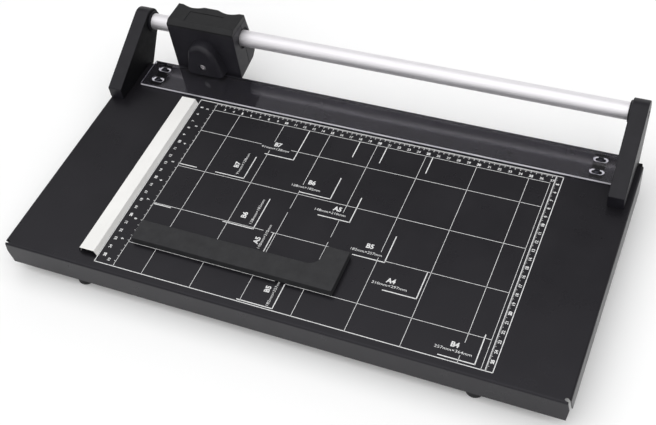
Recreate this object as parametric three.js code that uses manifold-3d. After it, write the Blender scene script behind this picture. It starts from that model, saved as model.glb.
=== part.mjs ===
// Rotary paper trimmer: a folded steel table, a round rail on two end brackets and a cutter head
// that slides along the rail and rolls a disc blade against a steel bar at the rear edge.
// Sizes are in millimetres. While it is built, x is zero in the middle of the table, y is zero on
// the cutting line and z is zero on the table top. The last step moves the origin to the middle
// of the whole machine's outline, on the ground.

import * as THREE from 'three';
import { mergeVertices } from 'three/addons/utils/BufferGeometryUtils.js';
import Module from 'manifold-3d';

const wasm = await Module();
wasm.setup();

// Shares and turns used everywhere
const half = 0.5;
const quarterTurn = Math.PI / 2;
const halfTurn = Math.PI;
const fullTurn = 2 * Math.PI;

// Smoothness of round faces and the reach of cutters past the faces that they cut
const roundSteps = 32;
const smallRoundSteps = 12;
const bendSteps = 4;
const overrun = 2;
const weldDistance = 0.0001;

// Table tray
const trayWidth = 543;
const trayDepth = 266;
const trayHeight = 27;
const sheetThickness = 1.2;
const bendRadius = 2.2;
const flangeEndInset = 2.7;
const sideFlangeEndInset = 4.4;
const reliefRadius = 2.3;
const reliefInset = 3.6;

// Cutting bar on the rear flange
const barThickness = 2;
const barHeight = 12;
const bladeGap = 0.3;
const barScrewCount = 3;
const barScrewInset = 28.5;
const barScrewDrop = 7;

// Screws, nuts and the play round them
const fitPlay = 0.1;
const smallShankRadius = 1.5;
const smallHeadRadius = 2.8;
const smallHeadHeight = 1.7;
const largeShankRadius = 2;
const largeHeadRadius = 3.8;
const largeHeadHeight = 2.6;
const driveWidth = 0.8;
const driveShare = 0.55;
const driveDepthShare = 0.5;

// Rail tube and its place over the rear edge
const railRadius = 8.45;
const railWall = 1.5;
const railBehindCut = 22.5;
const railAboveTable = 37.2;

// End brackets
const bracketThickness = 15.5;
const bracketInsetLeft = 0.45;
const bracketInsetRight = 5.65;
const bracketFootReach = 62;
const bracketFootRise = 13;
const bracketEyeRadius = 13;
const bracketEyeForward = 1.1;
const bracketEyeRaise = 1.4;
const bracketHookDrop = 5;
const bracketHookReach = 2.4;
const bracketEdgeRadius = 0.9;
const eyeRingRadius = 10.8;
const eyeRingHeight = 2;
const bracketWeb = 3.8;
const bracketScrewDepth = 12;
const bracketScrewInset = 12;
const bracketScrewRearInset = 13.7;
const plugLength = 16;
const endScrewLength = 15;
const endHeadPlay = 0.3;

// Side fence
const fenceFromCut = 46;
const fenceFrontGap = 14.3;
const fenceBaseWidth = 19.3;
const fenceTopWidth = 15.4;
const fenceHeight = 6;
const fenceWall = 1.2;
const fenceCentreFromLeft = 87.3;
const fenceBlockLength = 18;
const fenceBlockInset = 24;
const fenceBlockPlay = 0.2;

// Clear guard strip
const guardGapLeft = 7.55;
const guardGapRight = 1.35;
const guardDepth = 37.6;
const guardThickness = 2.4;
const guardRaise = 1;
const guardLift = 1;
const guardSlotLength = 14;
const guardSlotWidth = 7;
const guardLedge = 1;
const guardLedgeSlotLength = 10;
const guardLedgeSlotWidth = 3.8;
const guardSlotInset = 16;
const guardSlotFromRear = 11.2;
const guardSlotPitch = 15.6;
const guardHeadRadius = 2.8;
const guardHeadHeight = 1.3;
const guardSpacerWidth = 12;
const guardSpacerDepth = 30;
const guardEdgeRadius = 0.4;

// Loose L-shaped stop
const stopLength = 202;
const stopReach = 45;
const stopArm = 22.5;
const stopHeight = 7.5;
const stopInnerRadius = 11;
const stopOuterRadius = 1.5;
const stopEdgeRadius = 0.5;
const stopFrontGap = 38.5;
const stopFromFence = 25.05;
const feltThickness = 0.5;
const feltInset = 1.5;
const magnetRadius = 6;
const magnetHeight = 3;
const magnetInset = 30;

// Rubber feet
const footRadius = 8.5;
const footTopRadius = 7;
const footDrop = 12.5;
const footEdgeRadius = 1.8;
const footInsetLeft = 75.5;
const footInsetRight = 81.5;
const footFrontInset = 11.2;
const footRearInset = 12;
const footStudLength = 24;

// Cutter head
const headWidth = 76.5;
const headParkGap = 31.75;
const headFrontFromCut = 2.5;
const headDepth = 38.5;
const headBodyTop = 54;
const headTop = 59.6;
const headTopDepth = 30.5;
const headShoulderDepth = 33.5;
const headShoulderHeight = 41;
const headFrontRaise = -0.4;
const headRaise = 2.5;
const headLowHeight = 9.5;
const headChamferDepth = 8;
const headWall = 3;
const headEndWall = 14;
const capFrontRise = 2.2;
const capSlopeDepth = 4.7;
const scoopRadius = 34;
const scoopDepth = 2.7;
const scoopSpread = 20.5;
const labelLength = 40;
const labelDepth = 15.5;
const labelSink = 1;
const labelPlateThickness = 0.7;
const labelFromFront = 5.6;
const bushRadius = 11;
const bushRecess = 1;
const bushSlidePlay = 0.1;
const shellScrewInset = 7;
const shellScrewLow = 10.5;
const shellScrewHigh = 51;
const shellScrewDepth = 9;
const shellHeadSink = 3;

// Blade cover and blade
const cutterOffset = 1.25;
const coverTopRadius = 15.7;
const coverArchCentre = 26.7;
const coverFlare = 0.23;
const coverBottom = 4.8;
const coverReach = 12.5;
const coverEdgeRadius = 4.5;
const coverFrontWall = 5;
const coverSideWall = 1.3;
const coverBladeRoom = 3.3;
const coverHubRadius = 8;
const bladeRadius = 16.5;
const bladeThickness = 1;
const bladeOverlap = 1.2;
const bladeBevel = 0.35;
const bladeBoreRadius = 4;
const bearingFlangeRadius = 6.5;
const bearingFlangeThickness = 1.6;
const axleRadius = 2.5;
const axleHeadRadius = 3.6;
const axleHeadHeight = 2;
const axleHeadPlay = 0.4;
const axleNutRadius = 4.6;
const axleNutHeight = 3.2;
const turningGap = 0.3;
const springSheet = 0.7;
const springRadius = 6;
const springTopRadius = 3.6;

// Places worked out from the sizes
const barRearY = -bladeGap;
const trayRearY = barRearY - barThickness;
const trayFrontY = trayRearY - trayDepth;
const trayHalf = trayWidth * half;
const guardRearY = barRearY;
const guardFrontY = guardRearY - guardDepth;
const guardTopZ = guardRaise + guardThickness;
const guardScrewSeatZ = guardRaise + guardLedge + guardLift + fitPlay;
const bracketOuterLeft = bracketInsetLeft - trayHalf;
const bracketOuterRight = trayHalf - bracketInsetRight;
const bracketEyeY = railBehindCut - bracketEyeForward;
const bracketEyeZ = railAboveTable + bracketEyeRaise;
const bracketInnerLeft = bracketOuterLeft + bracketThickness;
const bracketInnerRight = bracketOuterRight - bracketThickness;
const guardLeft = bracketInnerLeft + guardGapLeft;
const guardRight = bracketInnerRight - guardGapRight;
const fenceCentre = fenceCentreFromLeft - trayHalf;
const fenceRearY = -fenceFromCut;
const fenceFrontY = trayFrontY + fenceFrontGap;
const stopLeft = fenceCentre + fenceBaseWidth * half + stopFromFence;
const stopRight = stopLeft + stopLength;
const stopFrontY = trayFrontY + stopFrontGap;
const headFrontY = headFrontFromCut;
const headRearY = headFrontY + headDepth;
const headLeftX = bracketInnerLeft + headParkGap;
const headRightX = headLeftX + headWidth;
const headCentre = headLeftX + headWidth * half;
const cutterCentre = headCentre + cutterOffset;
const coverFrontY = headFrontY - coverReach;
const bladeAxisZ = bladeRadius - bladeOverlap;
const groundZ = -trayHeight - footDrop;
const outlineCentreY = (trayFrontY + headRearY) * half;

// Solids: turning three.js shapes into closed solids and back

function solidFrom(geometry) {
  const bare = geometry.clone();
  bare.deleteAttribute('normal');
  bare.deleteAttribute('uv');
  const welded = mergeVertices(bare, weldDistance);
  const corners = [];
  const index = welded.index.array;
  for (let first = 0; first < index.length; first += 3) {
    const [a, b, c] = index.slice(first, first + 3);
    if (a !== b && b !== c && c !== a) {
      corners.push(a, b, c);
    }
  }
  return new wasm.Manifold(new wasm.Mesh({
    numProp: 3,
    vertProperties: new Float32Array(welded.attributes.position.array),
    triVerts: new Uint32Array(corners),
  }));
}

function geometryFrom(solid) {
  const mesh = solid.getMesh();
  const geometry = new THREE.BufferGeometry();
  geometry.setAttribute('position', new THREE.BufferAttribute(mesh.vertProperties, 3));
  geometry.setIndex(new THREE.BufferAttribute(mesh.triVerts, 1));
  geometry.computeVertexNormals();
  return geometry;
}

function joined(solids) {
  return solids.reduce((whole, next) => whole.add(next));
}

function cutBy(solid, tools) {
  return tools.reduce((whole, tool) => whole.subtract(tool), solid);
}

function block(x0, x1, y0, y1, z0, z1) {
  const geometry = new THREE.BoxGeometry(x1 - x0, y1 - y0, z1 - z0);
  geometry.translate((x0 + x1) * half, (y0 + y1) * half, (z0 + z1) * half);
  return solidFrom(geometry);
}

// Directions in which an outline can be drawn out, each with the two axes that the outline uses
const xAxis = new THREE.Vector3(1, 0, 0);
const yAxis = new THREE.Vector3(0, 1, 0);
const zAxis = new THREE.Vector3(0, 0, 1);
const frontward = yAxis.clone().negate();

function basisOf(across, up, along) {
  return new THREE.Matrix4().makeBasis(across, up, along);
}

function extruded(outline, depth, edgeRadius, steps) {
  const rounded = edgeRadius > 0;
  const geometry = new THREE.ExtrudeGeometry(outline, {
    depth: depth - 2 * edgeRadius,
    curveSegments: steps,
    bevelEnabled: rounded,
    bevelThickness: edgeRadius,
    bevelSize: edgeRadius,
    bevelOffset: -edgeRadius,
    bevelSegments: rounded ? bendSteps * half : 0,
  });
  geometry.translate(0, 0, edgeRadius);
  return geometry;
}

// An outline in y and z, drawn out along x
function alongX(outline, x0, x1, edgeRadius = 0, steps = smallRoundSteps) {
  const geometry = extruded(outline, x1 - x0, edgeRadius, steps);
  geometry.applyMatrix4(basisOf(yAxis, zAxis, xAxis));
  geometry.translate(x0, 0, 0);
  return solidFrom(geometry);
}

// An outline in x and z, drawn out from the rear to the front
function alongY(outline, y0, y1, edgeRadius = 0, steps = smallRoundSteps) {
  const geometry = extruded(outline, y1 - y0, edgeRadius, steps);
  geometry.applyMatrix4(basisOf(xAxis, zAxis, frontward));
  geometry.translate(0, y1, 0);
  return solidFrom(geometry);
}

// An outline in x and y, drawn out upwards
function alongZ(outline, z0, z1, edgeRadius = 0, steps = smallRoundSteps) {
  const geometry = extruded(outline, z1 - z0, edgeRadius, steps);
  geometry.translate(0, 0, z0);
  return solidFrom(geometry);
}

function outlineOf(points) {
  return new THREE.Shape(points.map(([across, up]) => new THREE.Vector2(across, up)));
}

// A turned solid: pairs of radius and distance along the direction, turned round it at a place
function turned(profile, direction, place, steps = smallRoundSteps) {
  const points = profile.map(([radius, along]) => new THREE.Vector2(radius, along));
  const geometry = new THREE.LatheGeometry(points, steps);
  const turn = new THREE.Quaternion().setFromUnitVectors(yAxis, direction);
  geometry.applyQuaternion(turn);
  geometry.translate(place.x, place.y, place.z);
  return solidFrom(geometry);
}

function at(x, y, z) {
  return new THREE.Vector3(x, y, z);
}

const origin = at(0, 0, 0);

function rod(radius, length, direction, place, steps = smallRoundSteps) {
  return turned([[0, 0], [radius, 0], [radius, length], [0, length]], direction, place, steps);
}

function ring(outer, inner, length, direction, place, steps = smallRoundSteps) {
  const profile = [[inner, 0], [outer, 0], [outer, length], [inner, length], [inner, 0]];
  return turned(profile, direction, place, steps);
}

// Fasteners

const downward = zAxis.clone().negate();
const leftward = xAxis.clone().negate();

// A cross recess for a driver, sunk from the top of a screw head
function driveCuts(headRadius, headHeight, headTopPlace, direction) {
  const reach = headRadius * driveShare;
  const depth = headHeight * driveDepthShare;
  const cuts = [];
  for (const [wide, thin] of [[reach, driveWidth * half], [driveWidth * half, reach]]) {
    const geometry = new THREE.BoxGeometry(2 * wide, depth + overrun, 2 * thin);
    geometry.translate(0, (overrun - depth) * half, 0);
    const turn = new THREE.Quaternion().setFromUnitVectors(yAxis, direction);
    geometry.applyQuaternion(turn);
    geometry.translate(headTopPlace.x, headTopPlace.y, headTopPlace.z);
    cuts.push(solidFrom(geometry));
  }
  return cuts;
}

// A pan-head screw: the place is under the head and the direction runs from the tip to the head
function panScrew(shankRadius, shankLength, headRadius, headHeight, direction, place) {
  const crown = headRadius * driveShare;
  const shoulder = headHeight * half;
  const profile = [
    [0, -shankLength],
    [shankRadius, -shankLength],
    [shankRadius, 0],
    [headRadius, 0],
    [headRadius, shoulder],
    [crown, headHeight],
    [0, headHeight],
  ];
  const body = turned(profile, direction, place);
  const crownPlace = place.clone().addScaledVector(direction, headHeight);
  return cutBy(body, driveCuts(headRadius, headHeight, crownPlace, direction));
}

// A countersunk screw: the place is in the middle of the flat head
function sunkScrew(shankRadius, length, headRadius, headHeight, direction, place) {
  const profile = [
    [0, -length],
    [shankRadius, -length],
    [shankRadius, -headHeight],
    [headRadius, 0],
    [0, 0],
  ];
  const body = turned(profile, direction, place);
  return cutBy(body, driveCuts(headRadius, headHeight, place, direction));
}

// The hole for a countersunk screw, with the same cone and some play
function sunkHole(shankRadius, length, headRadius, headHeight, direction, place) {
  const profile = [
    [0, -length],
    [shankRadius + fitPlay, -length],
    [shankRadius + fitPlay, -headHeight],
    [headRadius + fitPlay, 0],
    [headRadius + fitPlay, overrun],
    [0, overrun],
  ];
  return turned(profile, direction, place);
}

function hexNut(acrossRadius, height, boreRadius, direction, place) {
  const hexSides = 6;
  const blank = rod(acrossRadius, height, direction, place, hexSides);
  const boreStart = place.clone().addScaledVector(direction, -overrun);
  return blank.subtract(rod(boreRadius, height + 2 * overrun, direction, boreStart));
}

// Places of things that repeat

function guardSlotPlaces() {
  const left = guardLeft + guardSlotInset;
  const right = guardRight - guardSlotInset;
  const rear = guardRearY - guardSlotFromRear;
  const front = rear - guardSlotPitch;
  return {
    left_rear: [left, rear],
    left_front: [left, front],
    right_rear: [right, rear],
    right_front: [right, front],
  };
}

function bracketScrewPlaces() {
  const left = bracketOuterLeft + bracketThickness * half;
  const right = bracketOuterRight - bracketThickness * half;
  const front = bracketScrewInset - bracketFootReach;
  const rear = trayRearY - bracketScrewRearInset;
  return {
    left_front: [left, front],
    left_rear: [left, rear],
    right_front: [right, front],
    right_rear: [right, rear],
  };
}

function footPlaces() {
  const left = footInsetLeft - trayHalf;
  const right = trayHalf - footInsetRight;
  const front = trayFrontY + footFrontInset;
  const rear = trayRearY - footRearInset;
  return {
    front_left: [left, front],
    front_right: [right, front],
    rear_left: [left, rear],
    rear_right: [right, rear],
  };
}

function fenceScrewPlaces() {
  return {
    rear: [fenceCentre, fenceRearY - fenceBlockInset],
    front: [fenceCentre, fenceFrontY + fenceBlockInset],
  };
}

function barScrewXs() {
  const first = guardLeft + barScrewInset;
  const pitch = (guardRight - barScrewInset - first) / (barScrewCount - 1);
  return Array.from({ length: barScrewCount }, (_, step) => first + step * pitch);
}

// Table

// An upside-down channel in section: a flat web between two flanges with rounded bends
function channelOutline(from, to) {
  const inner = bendRadius - sheetThickness;
  const outline = new THREE.Shape();
  outline.moveTo(to, -trayHeight);
  outline.lineTo(to, -bendRadius);
  outline.absarc(to - bendRadius, -bendRadius, bendRadius, 0, quarterTurn, false);
  outline.lineTo(from + bendRadius, 0);
  outline.absarc(from + bendRadius, -bendRadius, bendRadius, quarterTurn, halfTurn, false);
  outline.lineTo(from, -trayHeight);
  outline.lineTo(from + sheetThickness, -trayHeight);
  outline.lineTo(from + sheetThickness, -bendRadius);
  outline.absarc(from + bendRadius, -bendRadius, inner, halfTurn, quarterTurn, true);
  outline.lineTo(to - bendRadius, -sheetThickness);
  outline.absarc(to - bendRadius, -bendRadius, inner, quarterTurn, 0, true);
  outline.lineTo(to - sheetThickness, -trayHeight);
  outline.closePath();
  return outline;
}

function sheetHole(radius, x, y) {
  const depth = sheetThickness + bendRadius + overrun;
  return rod(radius, depth + overrun, downward, at(x, y, overrun));
}

function baseTray() {
  const across = channelOutline(trayFrontY, trayRearY);
  const lengthways = channelOutline(-trayHalf, trayHalf);
  const endX = trayHalf - flangeEndInset;
  const frontAndRear = alongX(across, -endX, endX, 0, bendSteps);
  const sideStart = trayFrontY + sideFlangeEndInset;
  const sides = alongY(lengthways, sideStart, trayRearY - sideFlangeEndInset, 0, bendSteps);
  const tools = [];
  for (const x of [reliefInset - trayHalf, trayHalf - reliefInset]) {
    for (const y of [trayFrontY + reliefInset, trayRearY - reliefInset]) {
      tools.push(sheetHole(reliefRadius, x, y));
    }
  }
  const smallPlaces = [guardSlotPlaces(), fenceScrewPlaces()].map(Object.values).flat();
  for (const [x, y] of smallPlaces) {
    tools.push(sheetHole(smallShankRadius + fitPlay, x, y));
  }
  for (const [x, y] of Object.values(bracketScrewPlaces())) {
    tools.push(sheetHole(largeShankRadius + fitPlay, x, y));
  }
  for (const x of barScrewXs()) {
    const place = at(x, trayRearY - overrun - sheetThickness, -barScrewDrop);
    const reach = sheetThickness + 2 * overrun;
    tools.push(rod(smallShankRadius + fitPlay, reach, yAxis, place));
  }
  return cutBy(joined([frontAndRear, sides]), tools);
}

function cuttingBar() {
  const bar = block(guardLeft, guardRight, trayRearY, barRearY, -barHeight, 0);
  const sunkDepth = barThickness + overrun;
  const holes = barScrewXs().map((x) => sunkHole(smallShankRadius, sunkDepth, smallHeadRadius,
    smallHeadHeight, yAxis, at(x, barRearY, -barScrewDrop)));
  return cutBy(bar, holes);
}

function barScrew() {
  const length = barThickness + sheetThickness + smallHeadHeight;
  return sunkScrew(smallShankRadius, length, smallHeadRadius, smallHeadHeight, yAxis, origin);
}

// Rubber feet: tapered posts, each turned onto a threaded stud that stands down from the sheet

function rubberFoot() {
  const top = -sheetThickness;
  const height = top - groundZ;
  const profile = [
    [0, 0],
    [footRadius - footEdgeRadius, 0],
    [footRadius, footEdgeRadius],
    [footRadius, footDrop],
    [footTopRadius, height],
    [0, height],
  ];
  const post = turned(profile, zAxis, origin, roundSteps * half);
  const hole = rod(largeShankRadius + fitPlay, footStudLength + fitPlay + overrun, downward,
    at(0, 0, height + overrun));
  return post.subtract(hole);
}

function footStud() {
  return rod(largeShankRadius, footStudLength, downward, origin);
}

// Side fence: a low channel with sloping sides, open below and at both ends

function fenceOutline(inset, bottom) {
  const slope = (fenceBaseWidth - fenceTopWidth) * half / fenceHeight;
  const low = fenceBaseWidth * half - inset - bottom * slope;
  const high = fenceTopWidth * half - inset;
  return outlineOf([
    [fenceCentre - low, bottom],
    [fenceCentre + low, bottom],
    [fenceCentre + high, fenceHeight - inset],
    [fenceCentre - high, fenceHeight - inset],
  ]);
}

function sideFence() {
  const skin = alongY(fenceOutline(0, 0), fenceFrontY, fenceRearY);
  const room = fenceOutline(fenceWall, -overrun);
  return skin.subtract(alongY(room, fenceFrontY - overrun, fenceRearY + overrun));
}

function fenceBlock() {
  const reach = fenceTopWidth * half - fenceWall - fenceBlockPlay;
  const top = fenceHeight - fenceWall;
  const end = fenceBlockLength * half;
  const body = block(-reach, reach, -end, end, 0, top);
  return body.subtract(rod(smallShankRadius + fitPlay, top + overrun, zAxis, at(0, 0, -overrun)));
}

function fenceScrew() {
  const length = sheetThickness + (fenceHeight - fenceWall) * driveShare;
  return panScrew(smallShankRadius, length, smallHeadRadius, smallHeadHeight, downward, origin);
}

// End brackets: a foot on the table, an arm that leans back over the rear edge and an eye for
// the rail. The eye's round outline is centred a little in front of the rail and above it. A
// short hook reaches down behind the rear flange.

// Where the straight line from an outside point touches a circle, as an angle
function touchAngle(pointY, pointZ, side) {
  const dy = pointY - bracketEyeY;
  const dz = pointZ - bracketEyeZ;
  const away = Math.hypot(dy, dz);
  return Math.atan2(dz, dy) + side * Math.acos(bracketEyeRadius / away);
}

function bracketOutline() {
  const frontTouch = touchAngle(-bracketFootReach, bracketFootRise, -1) + fullTurn;
  const rearTouch = touchAngle(bracketHookReach, -bracketHookDrop, 1);
  const outline = new THREE.Shape();
  outline.moveTo(-bracketFootReach, 0);
  outline.lineTo(trayRearY, 0);
  outline.lineTo(trayRearY, -bracketHookDrop);
  outline.lineTo(bracketHookReach, -bracketHookDrop);
  outline.absarc(bracketEyeY, bracketEyeZ, bracketEyeRadius, rearTouch, frontTouch, false);
  outline.lineTo(-bracketFootReach, bracketFootRise);
  outline.closePath();
  return outline;
}

// The side is 1 for a bracket whose inner face looks to the right and -1 for the other one
function endBracket(outerX, side) {
  const innerX = outerX + side * bracketThickness;
  const low = Math.min(outerX, innerX);
  const inward = side > 0 ? xAxis : leftward;
  const arm = alongX(bracketOutline(), low, low + bracketThickness, bracketEdgeRadius);
  const railPlace = (x) => at(x, railBehindCut, railAboveTable);
  const eyeRing = rod(eyeRingRadius, eyeRingHeight + eyeRingHeight, inward,
    railPlace(innerX - side * eyeRingHeight), roundSteps);
  const socketStart = outerX + side * bracketWeb;
  const socket = rod(railRadius + fitPlay, bracketThickness + overrun, inward,
    railPlace(socketStart), roundSteps);
  const screwHole = rod(axleRadius + fitPlay, bracketWeb + 2 * overrun, inward,
    railPlace(outerX - side * overrun));
  const headRoom = rod(axleHeadRadius + endHeadPlay, axleHeadHeight + overrun, inward,
    railPlace(outerX - side * overrun));
  const middleX = (outerX + innerX) * half;
  const screws = Object.values(bracketScrewPlaces()).filter(([x]) => x * side < 0);
  const footHoles = screws.map(([, y]) => rod(largeShankRadius + fitPlay,
    bracketScrewDepth + overrun, zAxis, at(middleX, y, -overrun)));
  return cutBy(joined([arm, eyeRing]), [socket, screwHole, headRoom, ...footHoles]);
}

function bracketScrew() {
  const length = bracketScrewDepth - fitPlay + sheetThickness;
  return panScrew(largeShankRadius, length, largeHeadRadius, largeHeadHeight, downward, origin);
}

// Rail tube with a plug pressed into each end and a screw from the outside of each bracket

const railLeftX = bracketOuterLeft + bracketWeb;
const railRightX = bracketOuterRight - bracketWeb;

function railTube() {
  const place = at(railLeftX, railBehindCut, railAboveTable);
  return ring(railRadius, railRadius - railWall, railRightX - railLeftX, xAxis, place, roundSteps);
}

function tubePlug(endX, side) {
  const inward = side > 0 ? xAxis : leftward;
  const place = at(endX, railBehindCut, railAboveTable);
  return ring(railRadius - railWall, axleRadius + fitPlay, plugLength, inward, place, roundSteps);
}

function tubeEndScrew(outward) {
  return panScrew(axleRadius, endScrewLength, axleHeadRadius, axleHeadHeight, outward, origin);
}

// Clear guard strip on spacers, with stepped slots round shoulder screws

function slotOutline(x, y, length, width) {
  const straight = (length - width) * half;
  const radius = width * half;
  const outline = new THREE.Shape();
  outline.moveTo(x - straight, y - radius);
  outline.lineTo(x + straight, y - radius);
  outline.absarc(x + straight, y, radius, -quarterTurn, quarterTurn, false);
  outline.lineTo(x - straight, y + radius);
  outline.absarc(x - straight, y, radius, quarterTurn, quarterTurn + halfTurn, false);
  outline.closePath();
  return outline;
}

function guardStrip() {
  const outline = outlineOf([
    [guardLeft, guardFrontY],
    [guardRight, guardFrontY],
    [guardRight, guardRearY],
    [guardLeft, guardRearY],
  ]);
  const strip = alongZ(outline, guardRaise, guardTopZ, guardEdgeRadius);
  const tools = [];
  for (const [x, y] of Object.values(guardSlotPlaces())) {
    const wide = slotOutline(x, y, guardSlotLength, guardSlotWidth);
    const narrow = slotOutline(x, y, guardLedgeSlotLength, guardLedgeSlotWidth);
    tools.push(alongZ(wide, guardRaise + guardLedge, guardTopZ + overrun, 0, bendSteps));
    tools.push(alongZ(narrow, 0, guardTopZ, 0, bendSteps));
  }
  return cutBy(strip, tools);
}

function guardScrew() {
  const length = guardScrewSeatZ + sheetThickness + smallHeadHeight;
  return panScrew(smallShankRadius, length, guardHeadRadius, guardHeadHeight, zAxis, origin);
}

function guardSpacer() {
  const wide = guardSpacerWidth * half;
  const deep = guardSpacerDepth * half;
  const plate = block(-wide, wide, -deep, deep, 0, guardRaise);
  const reach = guardSlotPitch * half;
  const holes = [-reach, reach].map((y) => rod(smallShankRadius + fitPlay,
    guardRaise + 2 * overrun, zAxis, at(0, y, -overrun)));
  return cutBy(plate, holes);
}

// Loose stop: an L-shaped block on a felt sheet, with magnets let into its underside

function stopOutline(inset) {
  const left = stopLeft + inset;
  const right = stopRight - inset;
  const rear = stopFrontY + stopReach - inset;
  const front = stopFrontY + inset;
  const barRear = front + stopArm - 2 * inset;
  const armLeft = right - stopArm + 2 * inset;
  const corner = stopOuterRadius;
  const hollow = stopInnerRadius;
  const outline = new THREE.Shape();
  outline.moveTo(left, front);
  outline.lineTo(right - corner, front);
  outline.absarc(right - corner, front + corner, corner, -quarterTurn, 0, false);
  outline.lineTo(right, rear - corner);
  outline.absarc(right - corner, rear - corner, corner, 0, quarterTurn, false);
  outline.lineTo(armLeft + corner, rear);
  outline.absarc(armLeft + corner, rear - corner, corner, quarterTurn, halfTurn, false);
  outline.lineTo(armLeft, barRear + hollow);
  outline.absarc(armLeft - hollow, barRear + hollow, hollow, 0, -quarterTurn, true);
  outline.lineTo(left, barRear);
  outline.closePath();
  return outline;
}

function magnetPlaces() {
  const y = stopFrontY + stopArm * half;
  return { left: [stopLeft + magnetInset, y], right: [stopRight - magnetInset, y] };
}

function stopBlock() {
  const body = alongZ(stopOutline(0), feltThickness, stopHeight, stopEdgeRadius, bendSteps);
  const room = magnetHeight + fitPlay;
  const pockets = Object.values(magnetPlaces()).map(([x, y]) => rod(magnetRadius + fitPlay,
    room + overrun, zAxis, at(x, y, feltThickness - overrun)));
  return cutBy(body, pockets);
}

function stopMagnet() {
  return rod(magnetRadius, magnetHeight, zAxis, origin);
}

function stopFelt() {
  return alongZ(stopOutline(feltInset), 0, feltThickness, 0, bendSteps);
}

// Cutter head: two moulded shells that meet behind the rail's axis, and a cap across their tops

function rearFaceY(height) {
  const topY = headFrontY + headTopDepth;
  const shoulderY = headFrontY + headShoulderDepth;
  if (height > headShoulderHeight) {
    const share = (height - headShoulderHeight) / (headTop - headShoulderHeight);
    return shoulderY + share * (topY - shoulderY);
  }
  const share = (height - headLowHeight) / (headShoulderHeight - headLowHeight);
  return headRearY + share * (shoulderY - headRearY);
}

function headOutline(inset) {
  const bodyTopRear = rearFaceY(headBodyTop) - inset;
  return outlineOf([
    [headFrontY + inset, headFrontRaise + inset],
    [headRearY - headChamferDepth - inset * half, headRaise + inset],
    [headRearY - inset, headLowHeight + inset * half],
    [headFrontY + headShoulderDepth - inset, headShoulderHeight],
    [bodyTopRear, headBodyTop - inset],
    [headFrontY + inset, headBodyTop - inset],
  ]);
}

function shellScrewPlaces() {
  const left = headLeftX + shellScrewInset;
  const right = headRightX - shellScrewInset;
  return {
    low_left: [left, shellScrewLow],
    low_right: [right, shellScrewLow],
    high_left: [left, shellScrewHigh],
    high_right: [right, shellScrewHigh],
  };
}

function headBody() {
  const body = alongX(headOutline(0), headLeftX, headRightX);
  const roomLeft = headLeftX + headEndWall;
  const roomRight = headRightX - headEndWall;
  const room = alongX(headOutline(headWall), roomLeft, roomRight);
  const start = at(headLeftX - overrun, railBehindCut, railAboveTable);
  const bore = rod(bushRadius + fitPlay, headWidth + 2 * overrun, xAxis, start, roundSteps);
  const axleHole = rod(axleRadius + fitPlay, headWall + 2 * overrun, yAxis,
    at(cutterCentre, headFrontY - overrun, bladeAxisZ));
  const tools = [room, bore, axleHole];
  for (const [x, z] of Object.values(shellScrewPlaces())) {
    const seatY = rearFaceY(z) - shellHeadSink;
    const tipY = railBehindCut - shellScrewDepth - fitPlay;
    tools.push(rod(smallShankRadius + fitPlay, seatY + overrun - tipY, yAxis, at(x, tipY, z)));
    const sinkReach = shellHeadSink + 2 * overrun;
    tools.push(rod(smallHeadRadius + fitPlay, sinkReach, yAxis, at(x, seatY, z)));
  }
  return cutBy(body, tools);
}

function frontShell() {
  const low = -overrun;
  return headBody().intersect(block(headLeftX - overrun, headRightX + overrun,
    headFrontY - overrun, railBehindCut, low, headTop + overrun));
}

function rearShell() {
  const low = -overrun;
  return headBody().intersect(block(headLeftX - overrun, headRightX + overrun,
    railBehindCut, headRearY + overrun, low, headTop + overrun));
}

function shellScrew(z) {
  const length = rearFaceY(z) - shellHeadSink - railBehindCut + shellScrewDepth;
  return panScrew(smallShankRadius, length, smallHeadRadius, smallHeadHeight, yAxis, origin);
}

// A finger scoop: a wide round tool laid across the cap's rear top edge at half a right angle
function scoopTool(x) {
  const edge = at(x, headFrontY + headTopDepth, headTop);
  const outward = at(0, 1, 1).normalize();
  const across = at(0, 1, -1).normalize();
  const axisPoint = edge.addScaledVector(outward, scoopRadius - scoopDepth);
  const start = axisPoint.addScaledVector(across, -scoopRadius);
  return rod(scoopRadius, 2 * scoopRadius, across, start, roundSteps);
}

function labelOutline(clearance) {
  const reach = labelLength * half - clearance;
  const y0 = headFrontY + labelFromFront + clearance;
  const y1 = headFrontY + labelFromFront + labelDepth - clearance;
  return outlineOf([
    [headCentre - reach, y0],
    [headCentre + reach, y0],
    [headCentre + reach, y1],
    [headCentre - reach, y1],
  ]);
}

function headCap() {
  const outline = outlineOf([
    [headFrontY, headBodyTop],
    [rearFaceY(headBodyTop), headBodyTop],
    [headFrontY + headTopDepth, headTop],
    [headFrontY + capSlopeDepth, headTop],
    [headFrontY, headBodyTop + capFrontRise],
  ]);
  const cap = alongX(outline, headLeftX, headRightX);
  const recess = alongZ(labelOutline(0), headTop - labelSink, headTop + overrun);
  const scoops = [scoopTool(headCentre - scoopSpread), scoopTool(headCentre + scoopSpread)];
  return cutBy(cap, [recess, ...scoops]);
}

function labelPlate() {
  const bottom = headTop - labelSink;
  return alongZ(labelOutline(fitPlay), bottom, bottom + labelPlateThickness);
}

function slideBush(outerX, side) {
  const inward = side > 0 ? xAxis : leftward;
  const place = at(outerX + side * bushRecess, railBehindCut, railAboveTable);
  return ring(bushRadius, railRadius + bushSlidePlay, headEndWall - bushRecess, inward, place,
    roundSteps);
}

// Blade cover: an arched box on the front of the head, open below and towards the head. A round
// hollow in front of the blade takes the bearing and the spring.

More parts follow.
